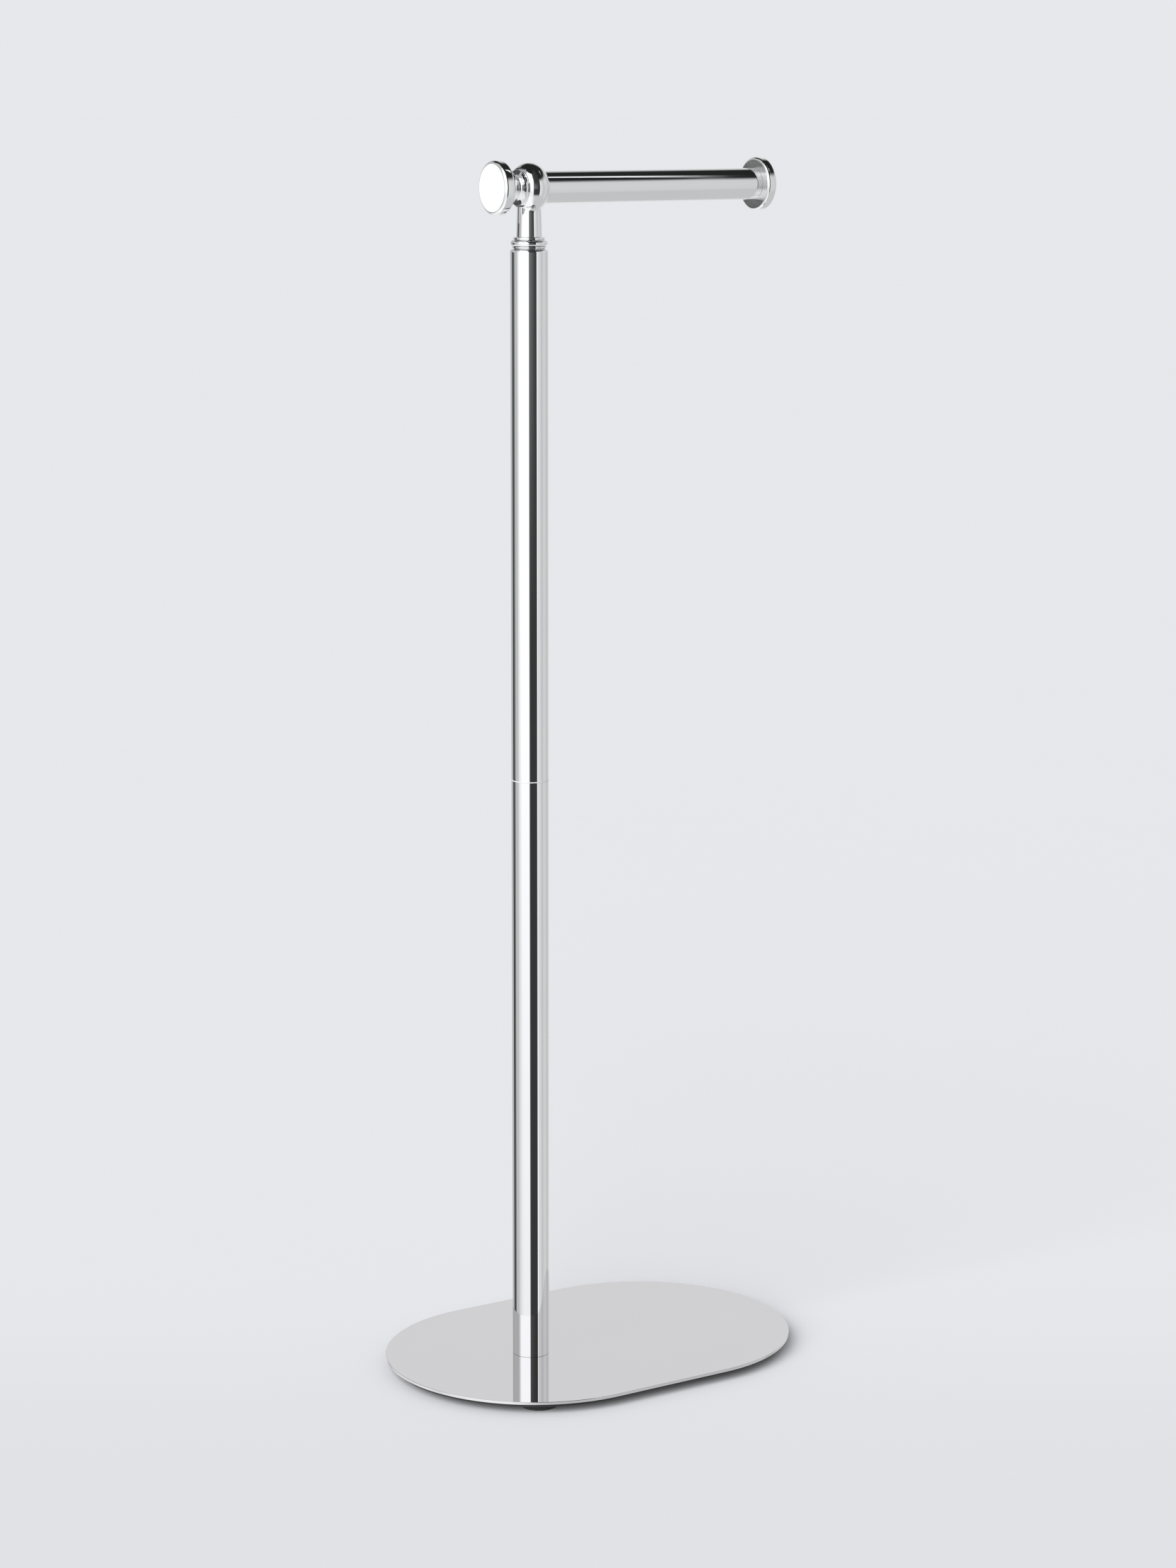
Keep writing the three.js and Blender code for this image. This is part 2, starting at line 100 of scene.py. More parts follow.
# Base
PLATE_EDGE_ROUND = 0.15 * MM
PLATE_EDGE_DRAFT = 0.28 * MM
WEIGHT_EDGE_ROUND = 0.4 * MM
WEIGHT_RIM_THICKNESS = 1.9 * MM
WEIGHT_CORE_INSET = 28 * MM
BOLT_HOLE_RADIUS = 4.3 * MM
COUNTERSINK_RADIUS = 7.8 * MM
COUNTERSINK_DEPTH = 3 * MM
STEM_RADIUS = 3.2 * MM
FOOT_HEIGHT = 3.7 * MM
FOOT_TAPER = 0.6 * MM
FOOT_EDGE_ROUND = 0.35 * MM
BOLT_RADIUS = 4 * MM
BOLT_HEAD_HEIGHT = 3 * MM
BOLT_KEY = 5 * MM
BOLT_KEY_DEPTH = 2 * MM
SCREW_CHAMFER = 0.6 * MM
SMALL_ROUND = 0.15 * MM

# Post
POST_WALL = 1.2 * MM
TUBE_EDGE_ROUND = 0.08 * MM
SHOULDER_HEIGHT = 1.7 * MM
SHOULDER_STEP = 1.3 * MM
LIP_BORE_RADIUS = 6 * MM
LIP_THICKNESS = 1.4 * MM
RUNNING_BORE_RADIUS = 3.55 * MM

# Collar and neck
LIP_RADIUS = 8.45 * MM
LIP_HEIGHT = 0.8 * MM
NECK_STEP_HEIGHT = 1.25 * MM
NECK_STEP_ROUND = 0.3 * MM
NECK_FOOT_RADIUS = 6.4 * MM
NECK_TOP_RADIUS = 6.05 * MM
NECK_BORE_DEPTH = 12.6 * MM
NECK_SCREW_HEIGHT = 6 * MM
SPIGOT_RADIUS = 3.8 * MM
BALL_CLEARANCE = 0.03 * MM
FILLET_LEAST = 0.12 * MM
FILLET_MOST = 3 * MM
FILLET_SINK = 0.012 * MM
FILLET_ROWS = 12
FILLET_SEARCH = 40
SADDLE_ROWS = 4
NECK_SCREW_KEY = 2 * MM
NECK_SCREW_KEY_DEPTH = 1.1 * MM
NECK_SCREW_POINT_RADIUS = 1.2 * MM

# Ball
BALL_RADIUS = 12.25 * MM
BALL_HALF_WIDTH = 9.35 * MM
SOCKET_LIP = 0.8 * MM
SOCKET_DEPTH_FROM_AXIS = 4.4 * MM
TIE_BORE_RADIUS = 3.3 * MM

# Arm
ARM_WALL = 1.1 * MM

# Knob and end cap
FLANGE_RADIUS = 8.9 * MM
FLANGE_THICKNESS = 1.5 * MM
KNOB_NECK_RADIUS = 6.2 * MM
KNOB_NECK_LENGTH = 0.75 * MM
KNOB_BORE_DEPTH = 9.5 * MM
KNOB_BORE_RADIUS = 3.05 * MM
KNOB_FLARE = math.radians(45)
COVE_ROUND = 4 * MM
KNOB_SHOULDER_ROUND = 2 * MM
FACE_RADIUS = 11.8 * MM
FACE_BEVEL_DEPTH = 1.7 * MM
FACE_BEVEL_SWEEP = math.radians(65)
CAP_THICKNESS = 5.6 * MM
CAP_BACK_RADIUS = 12 * MM
CAP_BACK_ROUND = 1.2 * MM
CAP_SPIGOT_WALL = 2 * MM
CAP_SPIGOT_CHAMFER = 0.5 * MM

# Finishes
CLOUD_DETAIL = 3
GRAIN_DETAIL = 2
GROOVE_PITCH = 0.11 * MM
GROOVE_SLOPE = 0.14
GROOVE_LEAST = 0.75
GROOVE_SPREAD = 0.5
UNEVEN_SCALE = 900
TURNED_DARK = (0.72, 0.725, 0.735, 1)
TURNED_LIGHT = (0.8, 0.805, 0.815, 1)
TURNED_ROUGHNESS = 0.1
TURNED_HAZE = 0.08

# Studio walls that the metal mirrors, in degrees of turn to the camera's right and of rise
TOWARDS_CAMERA = math.radians(-123.5)
WALL = 0.7
BACK_WALL = 0.8
BACK_WALL_RIGHT = (145, 172)
BACK_WALL_LEFT = (-178, -160)
LEFT_WALL = 0.57
LEFT_WALL_EDGE = (-78, -74)
FAR_LEFT_WALL = 0.51
FAR_LEFT_EDGE = (-134, -129)
WASH = 0.28
WASH_LOSS_AT_ARM_END = 0.2
WASH_TURN = (79, 150, 3)
WASH_RISE = (2, 14)

# Studio panels and strips, each with its level, start, end and softness
RIGHT_PANELS = ((0.6, 75, 87, 5), (0.78, 52, 66, 5), (0.57, 119, 136, 6))
LEFT_STRIPS = ((0.17, -111, -101, 1.5), (0.085, -120, -110, 1), (0.02, -128, -119, 1))
STRIP_TOP = (3, 9)

# Studio board on the left
BOARD = 0.98
BOARD_MIDDLE_GAIN = 0.27
BOARD_MIDDLE = (-21, -3)
BOARD_TOP_GAIN = 0.12
BOARD_TOP = (0, 19)
BOARD_START = -84
BOARD_FULL_BELOW = -40
BOARD_FULL_ABOVE = -58
BOARD_SLANT = (-17, -3)
LOW_LEFT = 0.95
LOW_LEFT_TOP = (-27, -22)
LOW_LEFT_EDGE = (-100, -84)

# Studio ceiling
CEILING = 0.02
CEILING_EDGE = 33
CEILING_SOFTNESS = 8
CEILING_LEFT = (-112, -10, 8)
CEILING_LEFT_EDGE = 60
CEILING_LEFT_SOFTNESS = 3
CEILING_RIGHT = (47, 118, 8)
CEILING_RIGHT_EDGE = 31
CEILING_RIGHT_SOFTNESS = 9
CEILING_BACK_RIGHT = (150, 165)
CEILING_BACK_LEFT = (-178, -168)
CEILING_BACK_EDGE = 37
CEILING_BACK_SOFTNESS = 14

# Studio gap beside the camera
GAP = 0.042
GAP_LEFT_EDGE = (-3.6, -1.2)
GAP_RIGHT_EDGE = (43.4, 47.2)
GAP_LEFT_GAIN = 0.05
GAP_LEFT_PART = (-2, 8)
GAP_RIGHT_LOSS = 0.02
GAP_RIGHT_PART = (40, 45)
GLOW = 0.13
GLOW_FOOT = (-9, -2)
GLOW_TOP = (4, 28)
GLOW_FADE = (-3.5, 45)
BRIGHT_STRIP = 1.2
BRIGHT_STRIP_TURN = (47.1, 51, 1.2)
BRIGHT_STRIP_TOP = (18, 30)

# Studio along the arm, where its end and its bright line are shares of a unit direction
ARM_END_SHARES = (0.556, 0.585)
ARM_LINE = 1.1
ARM_LINE_PLANE_SHARES = (-0.779, 0.449, -0.437)
ARM_LINE_WIDTH_SHARES = (0.014, 0.024)
ARM_LINE_TURN = (74, 112, 2)
ARM_LINE_RISE = (26, 62, 3)

# Studio floor
PALE_FLOOR_LEFT = 1.1
PALE_FLOOR_RIGHT = 0.62
PALE_FLOOR_CHANGE = (-25, 15)
PALE_FLOOR_BACK = 0.95
PALE_FLOOR_BACK_EDGE = (-125, -95)
HORIZON = (-41, -27)


class Signal:
    """A node output that can be used in sums."""

    def __init__(self, graph, socket):
        self.graph = graph
        self.socket = socket

    def _math(self, operation, *values):
        return self.graph.math(operation, *values)

    def __add__(self, other):
        return self._math("ADD", self, other)

    def __radd__(self, other):
        return self._math("ADD", other, self)

    def __sub__(self, other):
        return self._math("SUBTRACT", self, other)

    def __rsub__(self, other):
        return self._math("SUBTRACT", other, self)

    def __mul__(self, other):
        return self._math("MULTIPLY", self, other)

    def __rmul__(self, other):
        return self._math("MULTIPLY", other, self)

    def __truediv__(self, other):
        return self._math("DIVIDE", self, other)

    def __abs__(self):
        return self._math("ABSOLUTE", self)

    def rise(self, low, high):
        """Smooth step from 0 at low to 1 at high."""
        return self.graph.step(self, low, high)

    def band(self, low, high, soft):
        """1 between low and high, fading over soft on each side of both."""
        return self.rise(low - soft, low + soft) * (1 - self.rise(high - soft, high + soft))


class Graph:
    """Adds nodes to a tree."""

    def __init__(self, tree):
        self.tree = tree

    def add(self, kind, settings=None, values=None):
        made = self.tree.nodes.new(kind)
        for name, setting in (settings or {}).items():
            setattr(made, name, setting)
        for name, value in (values or {}).items():
            self.feed(made.inputs[name], value)
        return made

    def feed(self, socket, value):
        source = value.socket if isinstance(value, Signal) else value
        if isinstance(source, bpy.types.NodeSocket):
            self.tree.links.new(source, socket)
        else:
            socket.default_value = source

    def signal(self, node, output=0):
        return Signal(self, node.outputs[output])

    def math(self, operation, *values):
        settings = {"operation": operation}
        return self.signal(self.add("ShaderNodeMath", settings, dict(enumerate(values))))

    def vector(self, operation, *values):
        settings = {"operation": operation}
        made = self.add("ShaderNodeVectorMath", settings, dict(enumerate(values)))
        return self.signal(made)

    def step(self, value, low, high):
        values = {"Value": value, "From Min": low, "From Max": high}
        return self.signal(
            self.add("ShaderNodeMapRange", {"interpolation_type": "SMOOTHSTEP"}, values)
        )

    def blend(self, start, end, share):
        """From start to end as share goes from 0 to 1."""
        values = {"Factor": share, "A": start, "B": end}
        return self.signal(self.add("ShaderNodeMix", {"data_type": "FLOAT"}, values))

    def tint(self, start, end, share):
        """From one colour to another as share goes from 0 to 1."""
        settings = {"data_type": "RGBA"}
        made = self.add("ShaderNodeMix", settings, {0: share, 6: start, 7: end})
        return self.signal(made, 2)

    def parts(self, vector):
        made = self.add("ShaderNodeSeparateXYZ", values={0: vector})
        return [self.signal(made, index) for index in range(3)]

    def noise(self, place, scale, detail):
        values = {"Vector": place, "Scale": scale, "Detail": detail}
        return self.signal(self.add("ShaderNodeTexNoise", values=values))


# Profiles. Each lists radius and height from the lower inner end, out and up.

def fillet(before, corner, after, size):
    """Points of a round of this size at a corner between two straight runs."""
    into = (before - corner).normalized()
    out = (after - corner).normalized()
    turn = math.pi - into.angle(out)
    setback = size * math.tan(turn / 2)
    centre = corner + (into + out).normalized() * size / math.cos(turn / 2)
    start = corner + into * setback
    end = corner + out * setback
    first = math.atan2(start.y - centre.y, start.x - centre.x)
    last = math.atan2(end.y - centre.y, end.x - centre.x)
    sweep = (last - first + math.pi) % (2 * math.pi) - math.pi
    count = max(LEAST_ROUND_STEPS, math.ceil(abs(sweep) / ARC_STEP))
    points = [start + into * SUPPORT]
    for step in range(count + 1):
        angle = first + sweep * step / count
        points.append(centre + Vector((math.cos(angle), math.sin(angle))) * size)
    points.append(end + out * SUPPORT)
    return points


def outline(*corners):
    """Joins corners (radius, height) or (radius, height, round) into a fine profile."""
    points = []
    for index, corner in enumerate(corners):
        here = Vector(corner[:2])
        if len(corner) == 2:
            points.append(here)
            continue
        before = Vector(corners[index - 1][:2])
        after = Vector(corners[index + 1][:2])
        points.extend(fillet(before, here, after, corner[2]))
    return points


def arc(centre, across, along, first, last):
    """Points of an elliptical arc, ends included, angles from the radial direction."""
    count = math.ceil(abs(last - first) / ARC_STEP)
    points = []
    for step in range(count + 1):
        angle = first + (last - first) * step / count
        points.append(
            (centre[0] + across * math.cos(angle), centre[1] + along * math.sin(angle))
        )
    return points


# Geometry nodes

def turned_tree():
    """Turns a profile about Z. Straight parts the two halves for a racetrack outline."""
    tree = bpy.data.node_groups.new("turned_piece", "GeometryNodeTree")
    face = tree.interface
    face.new_socket(name="Mesh", in_out="OUTPUT", socket_type="NodeSocketGeometry")
    face.new_socket(name="Profile", in_out="INPUT", socket_type="NodeSocketGeometry")
    face.new_socket(name="Steps", in_out="INPUT", socket_type="NodeSocketInt")
    face.new_socket(name="Straight", in_out="INPUT", socket_type="NodeSocketFloat")
    face.new_socket(name="Weld", in_out="INPUT", socket_type="NodeSocketFloat")
    face.new_socket(name="Material", in_out="INPUT", socket_type="NodeSocketMaterial")
    graph = Graph(tree)
    given = graph.add("NodeGroupInput").outputs
    profile = given["Profile"]
    steps = Signal(graph, given["Steps"])
    counted = graph.add("GeometryNodeAttributeDomainSize", values={0: profile})
    rows = graph.signal(counted, "Point Count")
    columns = steps + 1
    grid = graph.add("GeometryNodeMeshGrid", values={"Vertices X": columns, "Vertices Y": rows})
    index = graph.signal(graph.add("GeometryNodeInputIndex"))
    column = graph.math("FLOOR", (index + 0.5) / rows)
    row = index - column * rows
    position = graph.add("GeometryNodeInputPosition").outputs[0]
    sampled = graph.add(
        "GeometryNodeSampleIndex",
        {"data_type": "FLOAT_VECTOR", "domain": "POINT"},
        {"Geometry": profile, "Value": position, "Index": row},
    )
    radius, _, height = graph.parts(sampled.outputs[0])
    angle = (column + 0.5) * (2 * math.pi) / steps
    across = graph.math("COSINE", angle)
    apart = graph.math("SIGN", across) * Signal(graph, given["Straight"])
    place = graph.add(
        "ShaderNodeCombineXYZ",
        values={0: radius * across + apart, 1: radius * graph.math("SINE", angle), 2: height},
    )
    moved = graph.add(
        "GeometryNodeSetPosition",
        values={"Geometry": grid.outputs["Mesh"], "Position": place.outputs[0]},
    )
    welded = graph.add(
        "GeometryNodeMergeByDistance",
        values={"Geometry": moved.outputs[0], "Distance": given["Weld"]},
    )
    finish_tree(graph, welded.outputs[0], given["Material"])
    return tree


def foot_tree():
    """Sets a copy of one foot at each corner of a rectangle."""
    tree = bpy.data.node_groups.new("four_feet", "GeometryNodeTree")
    face = tree.interface
    face.new_socket(name="Mesh", in_out="OUTPUT", socket_type="NodeSocketGeometry")
    face.new_socket(name="Foot", in_out="INPUT", socket_type="NodeSocketGeometry")
    face.new_socket(name="Apart Along", in_out="INPUT", socket_type="NodeSocketFloat")
    face.new_socket(name="Apart Across", in_out="INPUT", socket_type="NodeSocketFloat")
    face.new_socket(name="Material", in_out="INPUT", socket_type="NodeSocketMaterial")
    graph = Graph(tree)
    given = graph.add("NodeGroupInput").outputs
    corners = graph.add(
        "GeometryNodeMeshGrid",
        values={
            "Size X": given["Apart Along"],
            "Size Y": given["Apart Across"],
            "Vertices X": 2,
            "Vertices Y": 2,
        },
    )
    placed = graph.add(
        "GeometryNodeInstanceOnPoints",
        values={"Points": corners.outputs["Mesh"], "Instance": given["Foot"]},
    )
    finish_tree(graph, placed.outputs[0], given["Material"])
    return tree


def finish_tree(graph, geometry, material):
    """Smooth shading, real geometry and the material, into the group's output."""
    real = graph.add("GeometryNodeRealizeInstances", values={0: geometry})
    smooth = graph.add("GeometryNodeSetShadeSmooth", values={0: real.outputs[0]})
    painted = graph.add(
        "GeometryNodeSetMaterial", values={"Geometry": smooth.outputs[0], "Material": material}
    )
    graph.add("NodeGroupOutput", values={0: painted.outputs[0]})


def add_object(name, data):
    made = bpy.data.objects.new(name, data)
    bpy.context.scene.collection.objects.link(made)
    return made


def remove_object(piece):
    mesh = piece.data
    bpy.data.objects.remove(piece)
    bpy.data.meshes.remove(mesh)


def run_tree(name, mesh, tree, inputs):
    """Runs a tree on a mesh and keeps the result as a plain object."""
    source = add_object(name + "_source", mesh)
    modifier = source.modifiers.new("shape", "NODES")
    modifier.node_group = tree
    for item in tree.interface.items_tree:
        if item.in_out == "INPUT" and item.name in inputs:
            modifier[item.identifier] = inputs[item.name]
    return settle(source, name)


def settle(source, name):
    """Replaces an object that has modifiers with a plain one of that name."""
    graph = bpy.context.evaluated_depsgraph_get()
    mesh = bpy.data.meshes.new_from_object(source.evaluated_get(graph))
    remove_object(source)
    mesh.name = name
    drop_empty_slots(mesh)
    return add_object(name, mesh)


def drop_empty_slots(mesh):
    """Leaves only the material slots that hold a material, each once."""
    slots = list(mesh.materials)
    kept = list(dict.fromkeys(slot for slot in slots if slot))
    chosen = [kept.index(slots[face.material_index]) for face in mesh.polygons]
    mesh.materials.clear()
    for material in kept:
        mesh.materials.append(material)
    mesh.polygons.foreach_set("material_index", chosen)


def line_mesh(points):
    mesh = bpy.data.meshes.new("profile")
    corners = [(point[0], 0, point[1]) for point in points]
    mesh.from_pydata(corners, [(i, i + 1) for i in range(len(points) - 1)], [])
    return mesh


TURNED = turned_tree()
FEET = foot_tree()


def turned(name, points, material, straight=0.0):
    inputs = {"Steps": TURNED_STEPS, "Straight": straight, "Weld": WELD, "Material": material}
    return run_tree(name, line_mesh(points), TURNED, inputs)


def upright(x, y, z):
    return Matrix.Translation((x, y, z))


def along_arm(x, z):
    """Lays a turned shape with its height along +X."""
    return Matrix.Translation((x, 0, z)) @ Matrix.Rotation(QUARTER, 4, "Y")


def against_arm(x, z):
    """Lays a turned shape with its height along -X."""
    return Matrix.Translation((x, 0, z)) @ Matrix.Rotation(-QUARTER, 4, "Y")


def combine(piece, operation, others):
    """Cuts or joins other solids, which are used up."""
    name = piece.name
    for other in others:
        modifier = piece.modifiers.new("solid", "BOOLEAN")
        modifier.operation = operation
        modifier.solver = "EXACT"
        modifier.object = other
    piece.name = name + "_source"
    made = settle(piece, name)
    for other in others:
        remove_object(other)
    return made


def rod(name, radius, foot, top, material, place):
    made = turned(name, [(0, foot), (radius, foot), (radius, top), (0, top)], material)
    made.data.transform(place)
    return made


def hex_key(across_flats, foot, top, material):
    """Six-sided prism along Z."""
    mesh = bpy.data.meshes.new("key")
    shape = bmesh.new()
    radius = across_flats / 2 / math.cos(math.pi / HEX_SIDES)
    middle = Matrix.Translation((0, 0, (foot + top) / 2))
    bmesh.ops.create_cone(
        shape,
        cap_ends=True,
        segments=HEX_SIDES,
        radius1=radius,
        radius2=radius,
        depth=top - foot,
        matrix=middle,
    )
    shape.to_mesh(mesh)
    shape.free()
    mesh.materials.append(material)
    return add_object("key", mesh)


def finish_piece(piece, body, slot, *nodes):
    """Shading, its body and the CAD nodes that it stands for. The slot is not used."""
    piece.data.set_sharp_from_angle(angle=SHARP)
    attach(piece, body)
    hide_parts(*nodes)
    return piece


# Places that follow the CAD nodes

def span(node):
    """Lowest corner, size and centre of a CAD node."""
    low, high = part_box(node)
    return low, high - low, (low + high) / 2


POST_X = span("lower_tube")[2].x
POST_RADIUS = span("lower_tube")[1].x / 2
ARM_Z = span("arm_tube")[2].z
ARM_RADIUS = span("arm_tube")[1].z / 2
DISC_RADIUS = span("end_cap")[1].z / 2


# Materials

def new_material(name):
    made = bpy.data.materials.new(name)
    made.use_nodes = True
    made.node_tree.nodes.clear()
    return made, Graph(made.node_tree)


def end_material(graph, constants, varying):
    """The shader itself. Constants sit on its own sockets."""
    shader = graph.add("ShaderNodeBsdfPrincipled", values=constants)
    for name, value in varying.items():
        graph.feed(shader.inputs[name], value)
    graph.add("ShaderNodeOutputMaterial", values={"Surface": shader.outputs[0]})


def object_place(graph):
    return graph.add("ShaderNodeTexCoord").outputs["Object"]


def bump(graph, height, distance):
    values = {"Strength": 1.0, "Distance": distance, "Height": height}
    return graph.add("ShaderNodeBump", values=values).outputs[0]


def polished_metal(name, dark, light, roughness, haze, ripple, noises):
    """Mirror polish. The noises are scale and detail of its colour, haze and ripple."""
    made, graph = new_material(name)
    place = object_place(graph)
    cloud, hazy, rippled = [graph.noise(place, scale, detail) for scale, detail in noises]
    varying = {
        "Base Color": graph.tint(dark, light, cloud),
        "Roughness": roughness + hazy * haze,
        "Normal": bump(graph, rippled, ripple),
    }
    end_material(graph, {"Metallic": 1.0}, varying)
    return made


def grained(name, metallic, dark, light, roughness, spread, cloud_scale, grain_scale, grain):
    """Colour and gloss that vary in clouds, over a fine grain."""
    made, graph = new_material(name)
    place = object_place(graph)
    cloud = graph.noise(place, cloud_scale, CLOUD_DETAIL)
    fine = graph.noise(place, grain_scale, GRAIN_DETAIL)
    varying = {
        "Base Color": graph.tint(dark, light, cloud),
        "Roughness": roughness + cloud * spread,
        "Normal": bump(graph, fine, grain),
    }
    end_material(graph, {"Metallic": metallic}, varying)
    return made


def turned_chrome():
    """Fine grooves about the arm, which spread what they mirror from the middle outward."""
    made, graph = new_material("turned_chrome")
    place = object_place(graph)
    _, y, z = graph.parts(place)
    rise = z - ARM_Z
    reach = graph.math("SQRT", y * y + rise * rise)
    uneven = graph.noise(place, UNEVEN_SCALE, GRAIN_DETAIL)
    grooves = graph.math("SINE", reach * (2 * math.pi / GROOVE_PITCH))
    lean = grooves * (GROOVE_LEAST + GROOVE_SPREAD * uneven) * GROOVE_SLOPE / reach
    leaning = graph.add("ShaderNodeCombineXYZ", values={1: y * lean, 2: rise * lean})
    settings = {"vector_type": "VECTOR", "convert_from": "OBJECT", "convert_to": "WORLD"}
    leaning = graph.add("ShaderNodeVectorTransform", settings, {0: leaning.outputs[0]})
    facing = graph.add("ShaderNodeNewGeometry").outputs["Normal"]
    varying = {
        "Base Color": graph.tint(TURNED_DARK, TURNED_LIGHT, uneven),
        "Roughness": TURNED_ROUGHNESS + uneven * TURNED_HAZE,
        "Normal": graph.vector("NORMALIZE", graph.vector("ADD", facing, leaning.outputs[0])),
    }
    end_material(graph, {"Metallic": 1.0}, varying)
    return made


CHROME = polished_metal(
    "polished_chrome",
    dark=(0.84, 0.85, 0.862, 1),
    light=(0.87, 0.876, 0.884, 1),
    roughness=0.018,
    haze=0.022,
    ripple=0.004 * MM,
    noises=((35, 2), (420, 3), (95, 1)),
)
PLATE = polished_metal(
    "polished_plate",
    dark=(0.743, 0.734, 0.753, 1),
    light=(0.763, 0.755, 0.773, 1),
    roughness=0.012,
    haze=0.016,
    ripple=0.003 * MM,
    noises=((18, 3), (300, 3), (30, 1)),
)
TURNED_FACE = turned_chrome()
ENAMEL = grained(
    "black_enamel",
    metallic=0.0,
    dark=(0.017, 0.017, 0.019, 1),
    light=(0.026, 0.026, 0.028, 1),
    roughness=0.4,
    spread=0.15,
    cloud_scale=60,
    grain_scale=900,
    grain=0.02 * MM,
)
RUBBER = grained(
    "foot_rubber",
    metallic=0.0,
    dark=(0.016, 0.016, 0.017, 1),
    light=(0.03, 0.031, 0.032, 1),
    roughness=0.72,
    spread=0.16,
    cloud_scale=180,
    grain_scale=2600,
    grain=0.03 * MM,
)
ZINC = grained(
    "zinc_plated_steel",
    metallic=1.0,
    dark=(0.56, 0.58, 0.6, 1),
    light=(0.67, 0.69, 0.71, 1),
    roughness=0.24,
    spread=0.16,
    cloud_scale=700,
    grain_scale=3200,
    grain=0.006 * MM,
)
TURNED_STEEL = grained(
    "turned_steel",
    metallic=1.0,
    dark=(0.69, 0.69, 0.7, 1),
    light=(0.76, 0.76, 0.77, 1),
    roughness=0.1,
    spread=0.16,
    cloud_scale=700,
    grain_scale=3200,
    grain=0.006 * MM,
)
WHITE_PLASTIC = grained(
    "white_plastic",
    metallic=0.0,
    dark=(0.86, 0.86, 0.85, 1),
    light=(0.9, 0.9, 0.89, 1),
    roughness=0.4,
    spread=0.1,
    cloud_scale=240,
    grain_scale=3000,
    grain=0.004 * MM,
)


# Stand

def racetrack(name, length, width, foot, top, edge_round, draft, material):
    """Plate with rounded edges, drawn in at its foot by the draft."""
    lean = math.atan2(draft, top - foot)
    corner = width / 2 + edge_round * (math.tan(lean) + 1 / math.cos(lean) - 1)
    points = outline(
        (0, foot),
        (corner - draft, foot, edge_round),
        (corner, top, edge_round),
        (0, top),
    )
    return turned(name, points, material, (length - width) / 2)


def base_plate():
    low, size, _ = span("base_plate")
    made = racetrack(
        "base_plate_polished",
        size.x,
        size.y,
        low.z,
        low.z + size.z,
        PLATE_EDGE_ROUND,
        PLATE_EDGE_DRAFT,
        PLATE,
    )
    hole = rod(
        "hole",
        BOLT_HOLE_RADIUS,
        low.z - CUT_OVERRUN,
        low.z + size.z + CUT_OVERRUN,
        PLATE,
        upright(POST_X, 0, 0),
    )
    made = combine(made, "DIFFERENCE", [hole])
    return finish_piece(made, "stand", "polished_plate", "base_plate")


FOOT_NODES = ("foot_front_left", "foot_front_right", "foot_rear_left", "foot_rear_right")


def weight_plate():
    low, size, _ = span("weight_plate")
    rim_foot = low.z + size.z - WEIGHT_RIM_THICKNESS
    made = racetrack(
        "weight_plate_enamelled",
        size.x,
        size.y,
        rim_foot,
        low.z + size.z,
        WEIGHT_EDGE_ROUND,
        0,
        ENAMEL,
    )
    core = racetrack(
        "core",
        span("base_plate")[1].x - WEIGHT_CORE_INSET * 2,
        span("base_plate")[1].y - WEIGHT_CORE_INSET * 2,
        low.z,
        rim_foot + WEIGHT_RIM_THICKNESS / 2,
        WEIGHT_EDGE_ROUND,
        0,
        ENAMEL,
    )
    made = combine(made, "UNION", [core])
    top = size.z + CUT_OVERRUN
    countersink = turned(
        "countersink",
        [
            (0, -CUT_OVERRUN),
            (COUNTERSINK_RADIUS, -CUT_OVERRUN),
            (COUNTERSINK_RADIUS, 0),
            (BOLT_HOLE_RADIUS, COUNTERSINK_DEPTH),
            (BOLT_HOLE_RADIUS, top),
            (0, top),
        ],
        ENAMEL,
    )
    countersink.data.transform(upright(POST_X, 0, low.z))
    cutters = [countersink]
    for node in FOOT_NODES:
        centre = span(node)[2]
        place = upright(centre.x, centre.y, low.z)
        cutters.append(rod("hole", STEM_RADIUS + FIT_GAP, -CUT_OVERRUN, top, ENAMEL, place))
    made = combine(made, "DIFFERENCE", cutters)
    return finish_piece(made, "stand", "black_enamel", "weight_plate")


def rubber_feet():
    _, size, _ = span(FOOT_NODES[0])
    radius = size.x / 2
    points = outline(
        (0, 0),
        (radius - FOOT_TAPER, 0, FOOT_EDGE_ROUND),
        (radius, FOOT_TAPER, FOOT_EDGE_ROUND),
        (radius, FOOT_HEIGHT, SMALL_ROUND),
        (STEM_RADIUS, FOOT_HEIGHT),
        (STEM_RADIUS, size.z, SMALL_ROUND),
        (0, size.z),
    )
    foot = turned("one_foot", points, RUBBER)
    mesh = foot.data.copy()
    bpy.data.objects.remove(foot)
    far_corner = span("foot_rear_right")[2]
    inputs = {
        "Apart Along": far_corner.x * 2,
        "Apart Across": far_corner.y * 2,
        "Material": RUBBER,
    }
    made = run_tree("rubber_feet", mesh, FEET, inputs)
    return finish_piece(made, "stand", "foot_rubber", *FOOT_NODES)


def base_bolt():
    low, size, _ = span("base_bolt")
    points = outline(
        (0, 0),
        (size.x / 2, 0, SMALL_ROUND),
        (BOLT_RADIUS, BOLT_HEAD_HEIGHT),
        (BOLT_RADIUS, size.z - SCREW_CHAMFER),
        (BOLT_RADIUS - SCREW_CHAMFER, size.z),
        (0, size.z),
    )
    made = turned("base_bolt_zinc", points, ZINC)
    key = hex_key(BOLT_KEY, -CUT_OVERRUN, BOLT_KEY_DEPTH, ZINC)
    made = combine(made, "DIFFERENCE", [key])
    made.data.transform(upright(POST_X, 0, low.z))
    return finish_piece(made, "stand", "zinc_plated_steel", "base_bolt")


